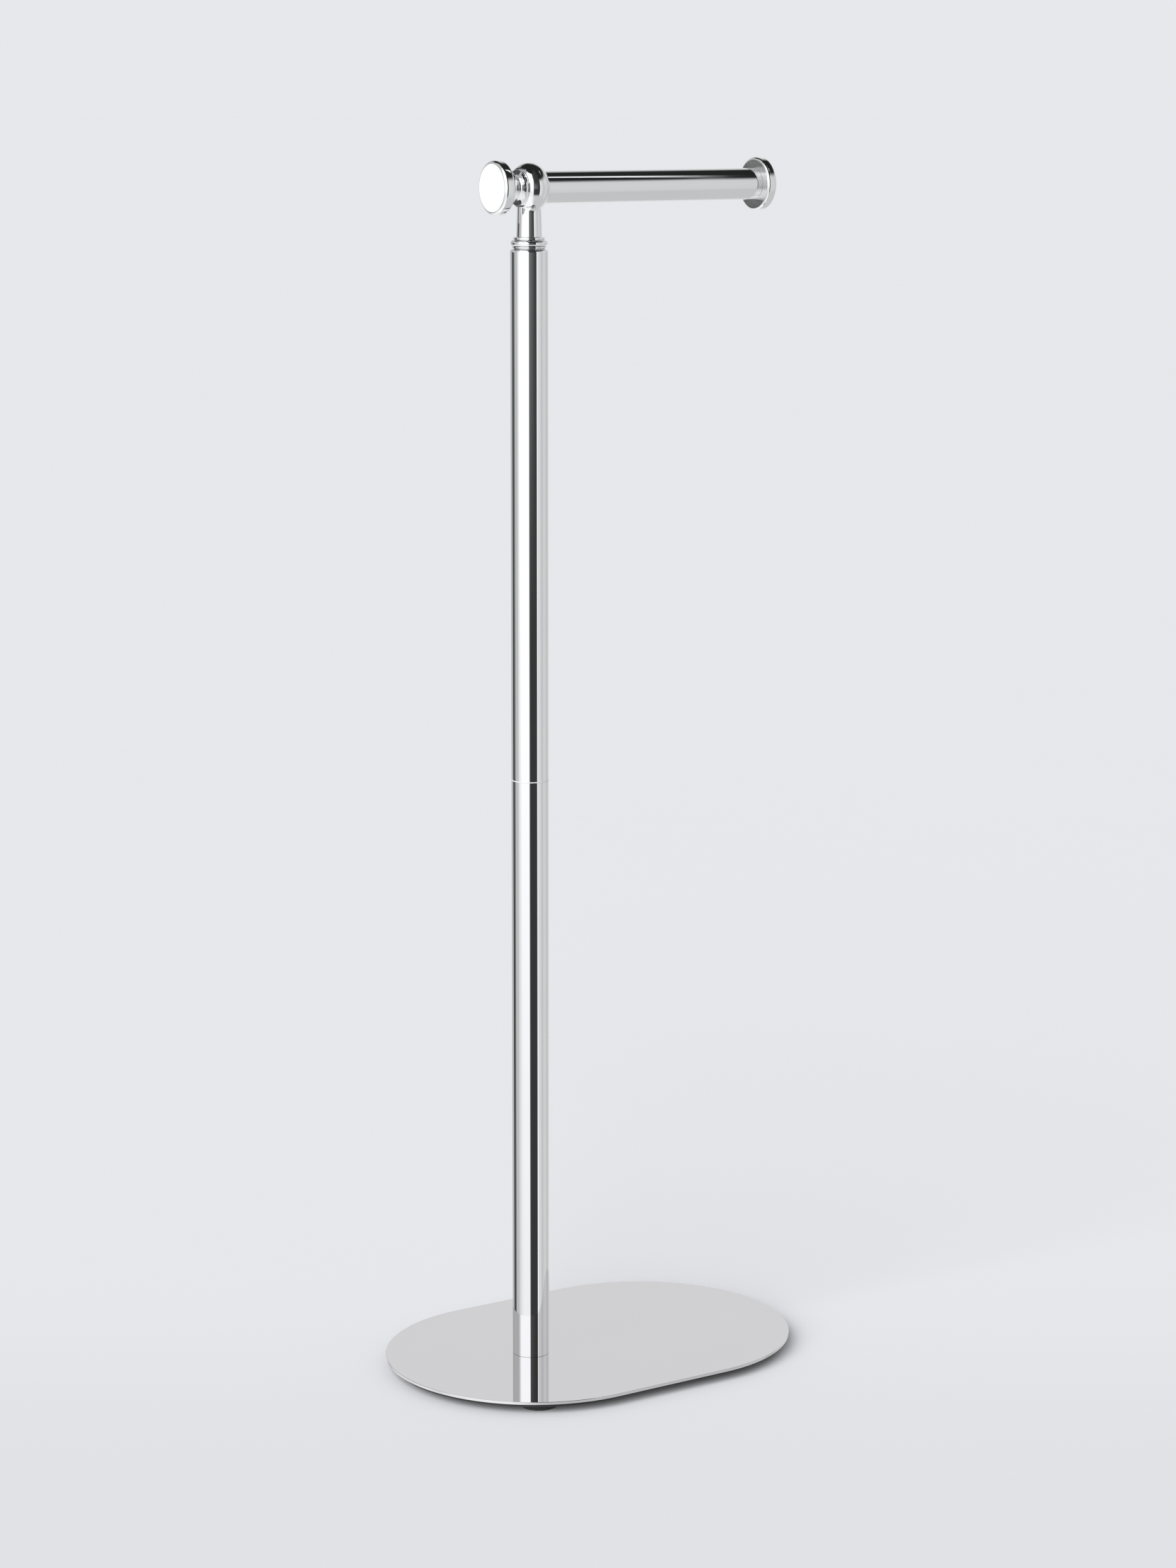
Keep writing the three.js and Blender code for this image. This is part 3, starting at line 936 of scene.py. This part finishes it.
def lower_tube():
    low, size, _ = span("lower_tube")
    bore = POST_RADIUS - POST_WALL
    points = outline(
        (bore, 0),
        (POST_RADIUS, 0, TUBE_EDGE_ROUND),
        (POST_RADIUS, size.z, TUBE_EDGE_ROUND),
        (bore, size.z),
        (bore, 0),
    )
    made = turned("lower_tube_polished", points, CHROME)
    made.data.transform(upright(POST_X, 0, low.z))
    return finish_piece(made, "stand", "polished_chrome", "lower_tube")


def seam_washer():
    low, size, _ = span("seam_washer")
    radius = size.x / 2
    bore = BOLT_HOLE_RADIUS
    points = outline(
        (bore, 0),
        (radius, 0, TUBE_EDGE_ROUND),
        (radius, size.z, TUBE_EDGE_ROUND),
        (bore, size.z),
        (bore, 0),
    )
    made = turned("seam_washer_white", points, WHITE_PLASTIC)
    made.data.transform(upright(POST_X, 0, low.z))
    return finish_piece(made, "stand", "white_plastic", "seam_washer")


def upper_tube():
    low, size, _ = span("upper_tube")
    bore = POST_RADIUS - POST_WALL
    shoulder_foot = size.z - SHOULDER_HEIGHT
    centre = (POST_RADIUS - SHOULDER_STEP, shoulder_foot)
    shoulder = arc(centre, SHOULDER_STEP, SHOULDER_HEIGHT, 0, QUARTER)
    points = outline(
        (bore, 0),
        (POST_RADIUS, 0, TUBE_EDGE_ROUND),
        (POST_RADIUS, shoulder_foot - SUPPORT),
        *shoulder,
        (LIP_BORE_RADIUS, size.z),
        (LIP_BORE_RADIUS, size.z - LIP_THICKNESS),
        (bore, size.z - LIP_THICKNESS),
        (bore, 0),
    )
    made = turned("upper_tube_polished", points, CHROME)
    made.data.transform(upright(POST_X, 0, low.z))
    return finish_piece(made, "stand", "polished_chrome", "upper_tube")


def swivel_washer():
    low, size, _ = span("swivel_washer")
    radius = size.x / 2
    points = outline(
        (RUNNING_BORE_RADIUS, 0),
        (radius, 0, TUBE_EDGE_ROUND),
        (radius, size.z, TUBE_EDGE_ROUND),
        (RUNNING_BORE_RADIUS, size.z),
        (RUNNING_BORE_RADIUS, 0),
    )
    made = turned("swivel_washer_turned", points, TURNED_STEEL)
    made.data.transform(upright(POST_X, 0, low.z))
    return finish_piece(made, "stand", "washer_steel", "swivel_washer")


# Head

def bead_ring():
    low, size, _ = span("bead_ring")
    bead_round = (size.z - LIP_HEIGHT) / 2
    bead_centre = (size.x / 2 - bead_round, LIP_HEIGHT + bead_round)
    bead = arc(bead_centre, bead_round, bead_round, -QUARTER, QUARTER)
    points = outline(
        (RUNNING_BORE_RADIUS, 0),
        (LIP_RADIUS, 0, SMALL_ROUND),
        (LIP_RADIUS, LIP_HEIGHT, SMALL_ROUND),
        *bead,
        (RUNNING_BORE_RADIUS, size.z),
        (RUNNING_BORE_RADIUS, 0),
    )
    made = turned("bead_ring_polished", points, CHROME)
    made.data.transform(upright(POST_X, 0, low.z))
    return finish_piece(made, "head", "polished_chrome", "bead_ring")


def neck_fillet(bearing, ball_height, column):
    """Profile of the round between the column, given by two points, and the whole ball."""
    size = FILLET_LEAST + (FILLET_MOST - FILLET_LEAST) * math.sin(bearing) ** 2
    half_width = 1 / math.hypot(
        math.cos(bearing) / BALL_HALF_WIDTH, math.sin(bearing) / BALL_RADIUS
    )
    run = (column[1] - column[0]).normalized()
    outward = Vector((run.y, -run.x))
    low, high = 0, QUARTER
    for _ in range(FILLET_SEARCH):
        place = (low + high) / 2
        across = half_width * math.sin(place)
        down = BALL_RADIUS * math.cos(place)
        normal = Vector((across / half_width**2, -down / BALL_RADIUS**2)).normalized()
        centre = Vector((across, ball_height - down)) + normal * (size - FILLET_SINK)
        if (centre - column[0]).dot(outward) > size:
            high = place
        else:
            low = place
    first = math.atan2(-outward.y, -outward.x) % (2 * math.pi)
    last = math.atan2(-normal.y, -normal.x)
    points = [centre - outward * size - run * SUPPORT]
    for row in range(FILLET_ROWS + 1):
        angle = first + (last - first) * row / FILLET_ROWS
        points.append(centre + Vector((math.cos(angle), math.sin(angle))) * size)
    return points


def neck_saddle(bearing, ball_height, outer):
    """Profile of the hollow under the ball, from the fillet in to the spigot."""
    points = []
    for row in range(1, SADDLE_ROWS + 1):
        radius = outer + (SPIGOT_RADIUS - outer) * row / SADDLE_ROWS
        across = radius * math.cos(bearing) / BALL_HALF_WIDTH
        along = radius * math.sin(bearing) / BALL_RADIUS
        drop = BALL_RADIUS * math.sqrt(1 - across**2 - along**2) + BALL_CLEARANCE
        points.append(Vector((radius, ball_height - drop)))
    return points


def shaped_turn(name, profiles, material):
    """Turned solid whose profile changes with the bearing, one profile for each step."""
    rows = len(profiles[0])
    corners = []
    faces = []
    for step, profile in enumerate(profiles):
        bearing = 2 * math.pi * step / len(profiles)
        along, across = math.cos(bearing), math.sin(bearing)
        corners.extend((radius * along, radius * across, height) for radius, height in profile)
        near = step * rows
        far = (step + 1) % len(profiles) * rows
        for row in range(rows - 1):
            faces.append((near + row, far + row, far + row + 1, near + row + 1))
    mesh = bpy.data.meshes.new(name)
    mesh.from_pydata(corners, [], faces)
    shape = bmesh.new()
    shape.from_mesh(mesh)
    bmesh.ops.remove_doubles(shape, verts=shape.verts, dist=WELD)
    for face in shape.faces:
        face.smooth = True
    shape.to_mesh(mesh)
    shape.free()
    mesh.materials.append(material)
    return add_object(name, mesh)


def neck():
    low, size, _ = span("neck")
    step_radius = size.x / 2
    rise = ARM_Z - low.z
    column = (
        Vector((NECK_FOOT_RADIUS, NECK_STEP_HEIGHT)),
        Vector((NECK_TOP_RADIUS, rise - BALL_RADIUS)),
    )
    foot = outline(
        (0, 0),
        (step_radius, 0, SMALL_ROUND),
        (step_radius, NECK_STEP_HEIGHT, NECK_STEP_ROUND),
        (NECK_FOOT_RADIUS, NECK_STEP_HEIGHT, SMALL_ROUND),
        column[1],
    )[:-1]
    profiles = []
    for step in range(TURNED_STEPS):
        bearing = 2 * math.pi * step / TURNED_STEPS
        fillet_points = neck_fillet(bearing, rise, column)
        saddle = neck_saddle(bearing, rise, fillet_points[-1].x)
        top = [(SPIGOT_RADIUS, size.z), (0, size.z)]
        profiles.append([*foot, *fillet_points, *saddle, *top])
    made = shaped_turn("neck_polished", profiles, CHROME)
    made.data.transform(upright(POST_X, 0, low.z))
    post_axis = upright(POST_X, 0, 0)
    bore_top = low.z + NECK_BORE_DEPTH
    bore = rod("bore", RUNNING_BORE_RADIUS, low.z - CUT_OVERRUN, bore_top, CHROME, post_axis)
    screw_radius = span("neck_screw")[1].x / 2
    back = Matrix.Translation((POST_X, 0, low.z + NECK_SCREW_HEIGHT))
    back = back @ Matrix.Rotation(-QUARTER, 4, "X")
    hole = rod("hole", screw_radius + FIT_GAP, 0, step_radius + CUT_OVERRUN, CHROME, back)
    made = combine(made, "DIFFERENCE", [bore, hole])
    return finish_piece(made, "head", "polished_chrome", "neck")


def neck_screw():
    low, size, centre = span("neck_screw")
    radius = size.x / 2
    length = size.y
    body_foot = RUNNING_BORE_RADIUS + FIT_GAP - low.y
    points = outline(
        (0, 0),
        (NECK_SCREW_POINT_RADIUS, 0),
        (NECK_SCREW_POINT_RADIUS, body_foot),
        (radius, body_foot),
        (radius, length, SMALL_ROUND),
        (0, length),
    )
    made = turned("neck_screw_zinc", points, ZINC)
    key_foot = length - NECK_SCREW_KEY_DEPTH
    key = hex_key(NECK_SCREW_KEY, key_foot, length + CUT_OVERRUN, ZINC)
    made = combine(made, "DIFFERENCE", [key])
    place = Matrix.Translation((centre.x, low.y, centre.z))
    made.data.transform(place @ Matrix.Rotation(-QUARTER, 4, "X"))
    return finish_piece(made, "head", "zinc_plated_steel", "neck_screw")


def ball():
    low, _, _ = span("ball")
    face = low.x - POST_X
    socket_radius = ARM_RADIUS + FIT_GAP
    face_angle = math.asin(face / BALL_HALF_WIDTH)
    socket_angle = math.acos((socket_radius + SOCKET_LIP) / BALL_RADIUS)
    surface = arc((0, 0), BALL_RADIUS, BALL_HALF_WIDTH, face_angle, socket_angle)
    socket_end = surface[-1][1]
    points = outline(
        (TIE_BORE_RADIUS, face),
        *surface,
        (socket_radius, socket_end, SMALL_ROUND),
        (socket_radius, SOCKET_DEPTH_FROM_AXIS),
        (TIE_BORE_RADIUS, SOCKET_DEPTH_FROM_AXIS),
        (TIE_BORE_RADIUS, face),
    )
    made = turned("ball_polished", points, CHROME)
    made.data.transform(along_arm(POST_X, ARM_Z))
    neck_low, neck_size, _ = span("neck")
    top = neck_low.z + neck_size.z + FIT_GAP
    foot = ARM_Z - BALL_RADIUS - CUT_OVERRUN
    hole = rod("hole", SPIGOT_RADIUS + FIT_GAP, foot, top, CHROME, upright(POST_X, 0, 0))
    made = combine(made, "DIFFERENCE", [hole])
    return finish_piece(made, "head", "polished_chrome", "ball")


def arm_tube():
    low, size, _ = span("arm_tube")
    bore = ARM_RADIUS - ARM_WALL
    points = outline(
        (bore, 0),
        (ARM_RADIUS, 0, TUBE_EDGE_ROUND),
        (ARM_RADIUS, size.x, TUBE_EDGE_ROUND),
        (bore, size.x),
        (bore, 0),
    )
    made = turned("arm_tube_polished", points, CHROME)
    made.data.transform(along_arm(low.x, ARM_Z))
    return finish_piece(made, "head", "polished_chrome", "arm_tube")


def disc_face(face):
    """Rounded corner and flat face that end a disc, with the face at this height."""
    across = (DISC_RADIUS - FACE_RADIUS) / (1 - math.cos(FACE_BEVEL_SWEEP))
    along = FACE_BEVEL_DEPTH / math.sin(FACE_BEVEL_SWEEP)
    centre = (DISC_RADIUS - across, face - FACE_BEVEL_DEPTH)
    corner = arc(centre, across, along, 0, FACE_BEVEL_SWEEP)
    return [*corner, (FACE_RADIUS - SUPPORT, face), (0, face)]


def knob():
    _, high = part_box("knob")
    cove_foot = FLANGE_THICKNESS + KNOB_NECK_LENGTH
    across = 1 - math.cos(KNOB_FLARE)
    along = math.sin(KNOB_FLARE)
    cone_rise = DISC_RADIUS - KNOB_NECK_RADIUS - (COVE_ROUND + KNOB_SHOULDER_ROUND) * across
    cone_top = cove_foot + COVE_ROUND * along + cone_rise / math.tan(KNOB_FLARE)
    rim_foot = cone_top + KNOB_SHOULDER_ROUND * along
    length = span("knob")[1].x
    cove_centre = (KNOB_NECK_RADIUS + COVE_ROUND, cove_foot)
    cove = arc(cove_centre, COVE_ROUND, COVE_ROUND, math.pi, math.pi - KNOB_FLARE)
    shoulder_centre = (DISC_RADIUS - KNOB_SHOULDER_ROUND, rim_foot)
    shoulder = arc(
        shoulder_centre, KNOB_SHOULDER_ROUND, KNOB_SHOULDER_ROUND, -KNOB_FLARE, 0
    )
    points = outline(
        (0, KNOB_BORE_DEPTH),
        (KNOB_BORE_RADIUS, KNOB_BORE_DEPTH),
        (KNOB_BORE_RADIUS, 0),
        (FLANGE_RADIUS, 0, SMALL_ROUND),
        (FLANGE_RADIUS, FLANGE_THICKNESS, SMALL_ROUND),
        (KNOB_NECK_RADIUS, FLANGE_THICKNESS, SMALL_ROUND),
        *cove,
        *shoulder,
        *disc_face(length),
    )
    made = turned("knob_polished", points, CHROME)
    made.data.transform(against_arm(high.x, ARM_Z))
    return finish_piece(made, "head", "polished_chrome", "knob")


def end_cap():
    low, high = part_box("end_cap")
    back = high.x - CAP_THICKNESS
    spigot_length = back - low.x
    spigot_radius = ARM_RADIUS - ARM_WALL - FIT_GAP
    wall_radius = spigot_radius - CAP_SPIGOT_WALL
    back_corner = arc(
        (CAP_BACK_RADIUS, CAP_BACK_ROUND),
        DISC_RADIUS - CAP_BACK_RADIUS,
        CAP_BACK_ROUND,
        -QUARTER,
        0,
    )
    points = outline(
        (0, 0),
        (wall_radius, 0),
        (wall_radius, -spigot_length),
        (spigot_radius - CAP_SPIGOT_CHAMFER, -spigot_length),
        (spigot_radius, CAP_SPIGOT_CHAMFER - spigot_length),
        (spigot_radius, 0),
        *back_corner,
        *disc_face(CAP_THICKNESS),
    )
    made = turned("end_cap_polished", points, CHROME)
    made.data.transform(along_arm(back, ARM_Z))
    made.data.materials.append(TURNED_FACE)
    for polygon in made.data.polygons:
        if polygon.normal.x < -FLAT_FACING and abs(polygon.center.x - back) < SUPPORT:
            polygon.material_index = 1
    return finish_piece(made, "head", "polished_chrome", "end_cap")


def inner_fittings():
    """CAD nodes that stay: the inserts, studs and pin inside the tubes."""
    for node in (
        "insert_foot",
        "insert_lower_top",
        "joining_stud",
        "insert_upper_foot",
        "insert_head",
        "pivot_pin",
        "arm_insert",
        "tie_stud",
    ):
        fitting = frame["nodes"][node]
        fitting.data.materials.clear()
        fitting.data.materials.append(ZINC)


# Studio

def walls(graph, turn, rise, arm_end):
    """Grey walls with a few panels, lighter where the arm mirrors them."""
    light = graph.blend(WALL, BACK_WALL, turn.rise(*BACK_WALL_RIGHT))
    for level, *place in RIGHT_PANELS:
        light = graph.blend(light, level, turn.band(*place))
    wash = WASH - WASH_LOSS_AT_ARM_END * arm_end
    light = light * (1 + wash * turn.band(*WASH_TURN) * rise.rise(*WASH_RISE))
    light = graph.blend(light, LEFT_WALL, 1 - turn.rise(*LEFT_WALL_EDGE))
    light = graph.blend(light, FAR_LEFT_WALL, 1 - turn.rise(*FAR_LEFT_EDGE))
    return graph.blend(light, BACK_WALL, 1 - turn.rise(*BACK_WALL_LEFT))


def left_boards(graph, light, turn, rise):
    """White board on the left, with dark strips and a low pale patch beyond it."""
    full = graph.blend(BOARD_FULL_BELOW, BOARD_FULL_ABOVE, rise.rise(*BOARD_SLANT))
    board = turn.rise(BOARD_START, full) * (1 - turn.rise(*GAP_LEFT_EDGE))
    middle = BOARD_MIDDLE_GAIN * rise.rise(*BOARD_MIDDLE)
    level = BOARD + middle + BOARD_TOP_GAIN * rise.rise(*BOARD_TOP)
    light = graph.blend(light, level, board)
    low = 1 - rise.rise(*STRIP_TOP)
    for level, *place in LEFT_STRIPS:
        light = graph.blend(light, level, turn.band(*place) * low)
    low_left = (1 - rise.rise(*LOW_LEFT_TOP)) * (1 - turn.rise(*LOW_LEFT_EDGE))
    return graph.blend(light, LOW_LEFT, low_left)


def dark_ceiling(graph, light, turn, rise):
    """Black above a soft edge, which is higher on the left and lower on the right."""
    back = turn.rise(*CEILING_BACK_RIGHT) + (1 - turn.rise(*CEILING_BACK_LEFT))
    sides = (
        (turn.band(*CEILING_LEFT), CEILING_LEFT_EDGE, CEILING_LEFT_SOFTNESS),
        (turn.band(*CEILING_RIGHT), CEILING_RIGHT_EDGE, CEILING_RIGHT_SOFTNESS),
        (back, CEILING_BACK_EDGE, CEILING_BACK_SOFTNESS),
    )
    edge = CEILING_EDGE
    soft = CEILING_SOFTNESS
    for side, side_edge, side_softness in sides:
        edge = graph.blend(edge, side_edge, side)
        soft = graph.blend(soft, side_softness, side)
    return graph.blend(light, CEILING, rise.rise(edge - soft, edge + soft))


def dark_gap(graph, light, turn, rise):
    """Black gap beside the camera, with a bright strip at its right."""
    glow = rise.rise(*GLOW_FOOT) * (1 - rise.rise(*GLOW_TOP))
    left_part = 1 - turn.rise(*GAP_LEFT_PART)
    level = GAP + GAP_LEFT_GAIN * left_part + GLOW * glow * (1 - turn.rise(*GLOW_FADE))
    level = level - GAP_RIGHT_LOSS * turn.rise(*GAP_RIGHT_PART)
    gap = turn.rise(*GAP_LEFT_EDGE) * (1 - turn.rise(*GAP_RIGHT_EDGE))
    light = graph.blend(light, level, gap)
    strip = turn.band(*BRIGHT_STRIP_TURN) * (1 - rise.rise(*BRIGHT_STRIP_TOP))
    return graph.blend(light, BRIGHT_STRIP, strip)


def arm_line(forward, aside, above, turn, rise):
    """Thin bright line that the arm mirrors along its length."""
    ahead_share, aside_share, above_share = ARM_LINE_PLANE_SHARES
    offset = abs(forward * ahead_share + aside * aside_share + above * above_share)
    thin = 1 - offset.rise(*ARM_LINE_WIDTH_SHARES)
    return thin * turn.band(*ARM_LINE_TURN) * rise.band(*ARM_LINE_RISE)


def mirrored_floor(graph, turn):
    """Pale floor, which is whitest at the camera's left."""
    level = graph.blend(PALE_FLOOR_LEFT, PALE_FLOOR_RIGHT, turn.rise(*PALE_FLOOR_CHANGE))
    return graph.blend(PALE_FLOOR_BACK, level, turn.rise(*PALE_FLOOR_BACK_EDGE))


def studio_light(graph):
    """What polished metal sees: white boards, a dark gap, a dark ceiling, a pale floor."""
    direction = graph.add("ShaderNodeTexCoord").outputs["Generated"]
    x, y, z = graph.parts(direction)
    forward = x * math.cos(TOWARDS_CAMERA) + y * math.sin(TOWARDS_CAMERA)
    aside = y * math.cos(TOWARDS_CAMERA) - x * math.sin(TOWARDS_CAMERA)
    turn = graph.math("ARCTAN2", aside, forward) * math.degrees(1)
    rise = graph.math("ARCSINE", z) * math.degrees(1)
    arm_end = x.rise(*ARM_END_SHARES)
    light = walls(graph, turn, rise, arm_end)
    light = left_boards(graph, light, turn, rise)
    light = dark_ceiling(graph, light, turn, rise)
    light = dark_gap(graph, light, turn, rise)
    line = arm_line(forward, aside, z, turn, rise)
    light = graph.blend(light, ARM_LINE, line * (1 - arm_end))
    return graph.blend(mirrored_floor(graph, turn), light, rise.rise(*HORIZON))


def world():
    made = bpy.data.worlds.new("studio")
    made.use_nodes = True
    made.node_tree.nodes.clear()
    made.cycles.sampling_method = "NONE"
    graph = Graph(made.node_tree)
    path = graph.add("ShaderNodeLightPath").outputs
    light = studio_light(graph)
    studio = graph.add("ShaderNodeCombineColor", values={0: light, 1: light, 2: light})
    sky = (SKY_LEVEL, SKY_LEVEL, SKY_LEVEL, 1)
    color = graph.tint(sky, studio.outputs[0], path["Is Glossy Ray"])
    straight = graph.math("MAXIMUM", path["Is Camera Ray"], path["Is Transmission Ray"])
    color = graph.tint(color, (*BACKDROP, 1), straight)
    background = graph.add("ShaderNodeBackground", values={"Color": color})
    graph.add("ShaderNodeOutputWorld", values={"Surface": background.outputs[0]})
    bpy.context.scene.world = made


def dimmed(share):
    """The backdrop's colour, taken down to this share."""
    return (*[channel * share for channel in BACKDROP], 1)


def floor():
    mesh = bpy.data.meshes.new("floor")
    reach = FLOOR_REACH
    mesh.from_pydata(
        [(-reach, -reach, 0), (reach, -reach, 0), (reach, reach, 0), (-reach, reach, 0)],
        [],
        [(0, 1, 2, 3)],
    )
    material, graph = new_material("pale_floor")
    place = object_place(graph)
    cloud = graph.noise(place, scale=3, detail=2)
    color = graph.tint(dimmed(FLOOR_MOTTLE_SHARE), (*BACKDROP, 1), cloud)
    x, y, _ = graph.parts(place)
    away = x * math.sin(CAMERA_YAW) + y * math.cos(CAMERA_YAW)
    # Painted shade: the floor's colour darkens towards the camera
    color = graph.tint(dimmed(FLOOR_NEAR_SHADE_SHARE), color, away.rise(*FLOOR_SHADE_FADE))
    constants = {"Roughness": 1.0, "Specular IOR Level": 0.0}
    end_material(graph, constants, {"Base Color": color})
    mesh.materials.append(material)
    made = add_object("floor", mesh)
    made.visible_glossy = False


def knob_card():
    """Small white card that only the face of the knob mirrors towards the camera."""
    across = Vector((CARD_HALF_WIDTH, 0, 0))
    up = Vector((0, 0, CARD_HALF_HEIGHT))
    mesh = bpy.data.meshes.new("knob_card")
    mesh.from_pydata([-across - up, across - up, across + up, up - across], [], [(0, 1, 2, 3)])
    facing = CARD_BEAM.to_track_quat("Y", "Z").to_matrix().to_4x4()
    mesh.transform(Matrix.Translation(CARD_PLACE) @ facing)
    material, graph = new_material("white_card")
    values = {"Color": (1, 1, 1, 1), "Strength": CARD_LEVEL}
    light = graph.add("ShaderNodeEmission", values=values)
    graph.add("ShaderNodeOutputMaterial", values={"Surface": light.outputs[0]})
    mesh.materials.append(material)
    made = add_object("knob_card", mesh)
    made.visible_camera = False
    made.visible_diffuse = False
    made.visible_transmission = False
    made.visible_volume_scatter = False
    made.visible_shadow = False


def sun():
    data = bpy.data.lights.new("window_light", "SUN")
    data.energy = SUN_SHARE * math.pi / math.sin(SUN_ELEVATION)
    data.angle = SUN_SPREAD
    made = add_object("window_light", data)
    heading = math.pi - CAMERA_YAW - SUN_TURN
    towards = Vector(
        (
            math.cos(heading) * math.cos(SUN_ELEVATION),
            math.sin(heading) * math.cos(SUN_ELEVATION),
            math.sin(SUN_ELEVATION),
        )
    )
    made.rotation_euler = towards.to_track_quat("Z", "Y").to_euler()
    made.visible_glossy = False


def camera():
    data = bpy.data.cameras.new("camera")
    data.lens = CAMERA_LENS
    data.sensor_width = SENSOR_WIDTH
    data.clip_start = CAMERA_NEAR
    data.clip_end = CAMERA_FAR
    made = add_object("camera", data)
    ahead = Vector(
        (
            math.sin(CAMERA_YAW) * math.cos(CAMERA_PITCH),
            math.cos(CAMERA_YAW) * math.cos(CAMERA_PITCH),
            -math.sin(CAMERA_PITCH),
        )
    )
    level = Vector((math.cos(CAMERA_YAW), -math.sin(CAMERA_YAW), 0))
    above = level.cross(ahead)
    right = level * math.cos(CAMERA_ROLL) + above * math.sin(CAMERA_ROLL)
    up = above * math.cos(CAMERA_ROLL) - level * math.sin(CAMERA_ROLL)
    turn = Matrix((right, up, -ahead)).transposed()
    made.matrix_world = Matrix.Translation(CAMERA_PLACE) @ turn.to_4x4()
    bpy.context.scene.camera = made


base_plate()
weight_plate()
rubber_feet()
base_bolt()
lower_tube()
seam_washer()
upper_tube()
swivel_washer()
bead_ring()
neck()
neck_screw()
ball()
arm_tube()
knob()
end_cap()
inner_fittings()

world()
floor()
knob_card()
sun()
camera()
bpy.context.scene.view_settings.view_transform = "Standard"
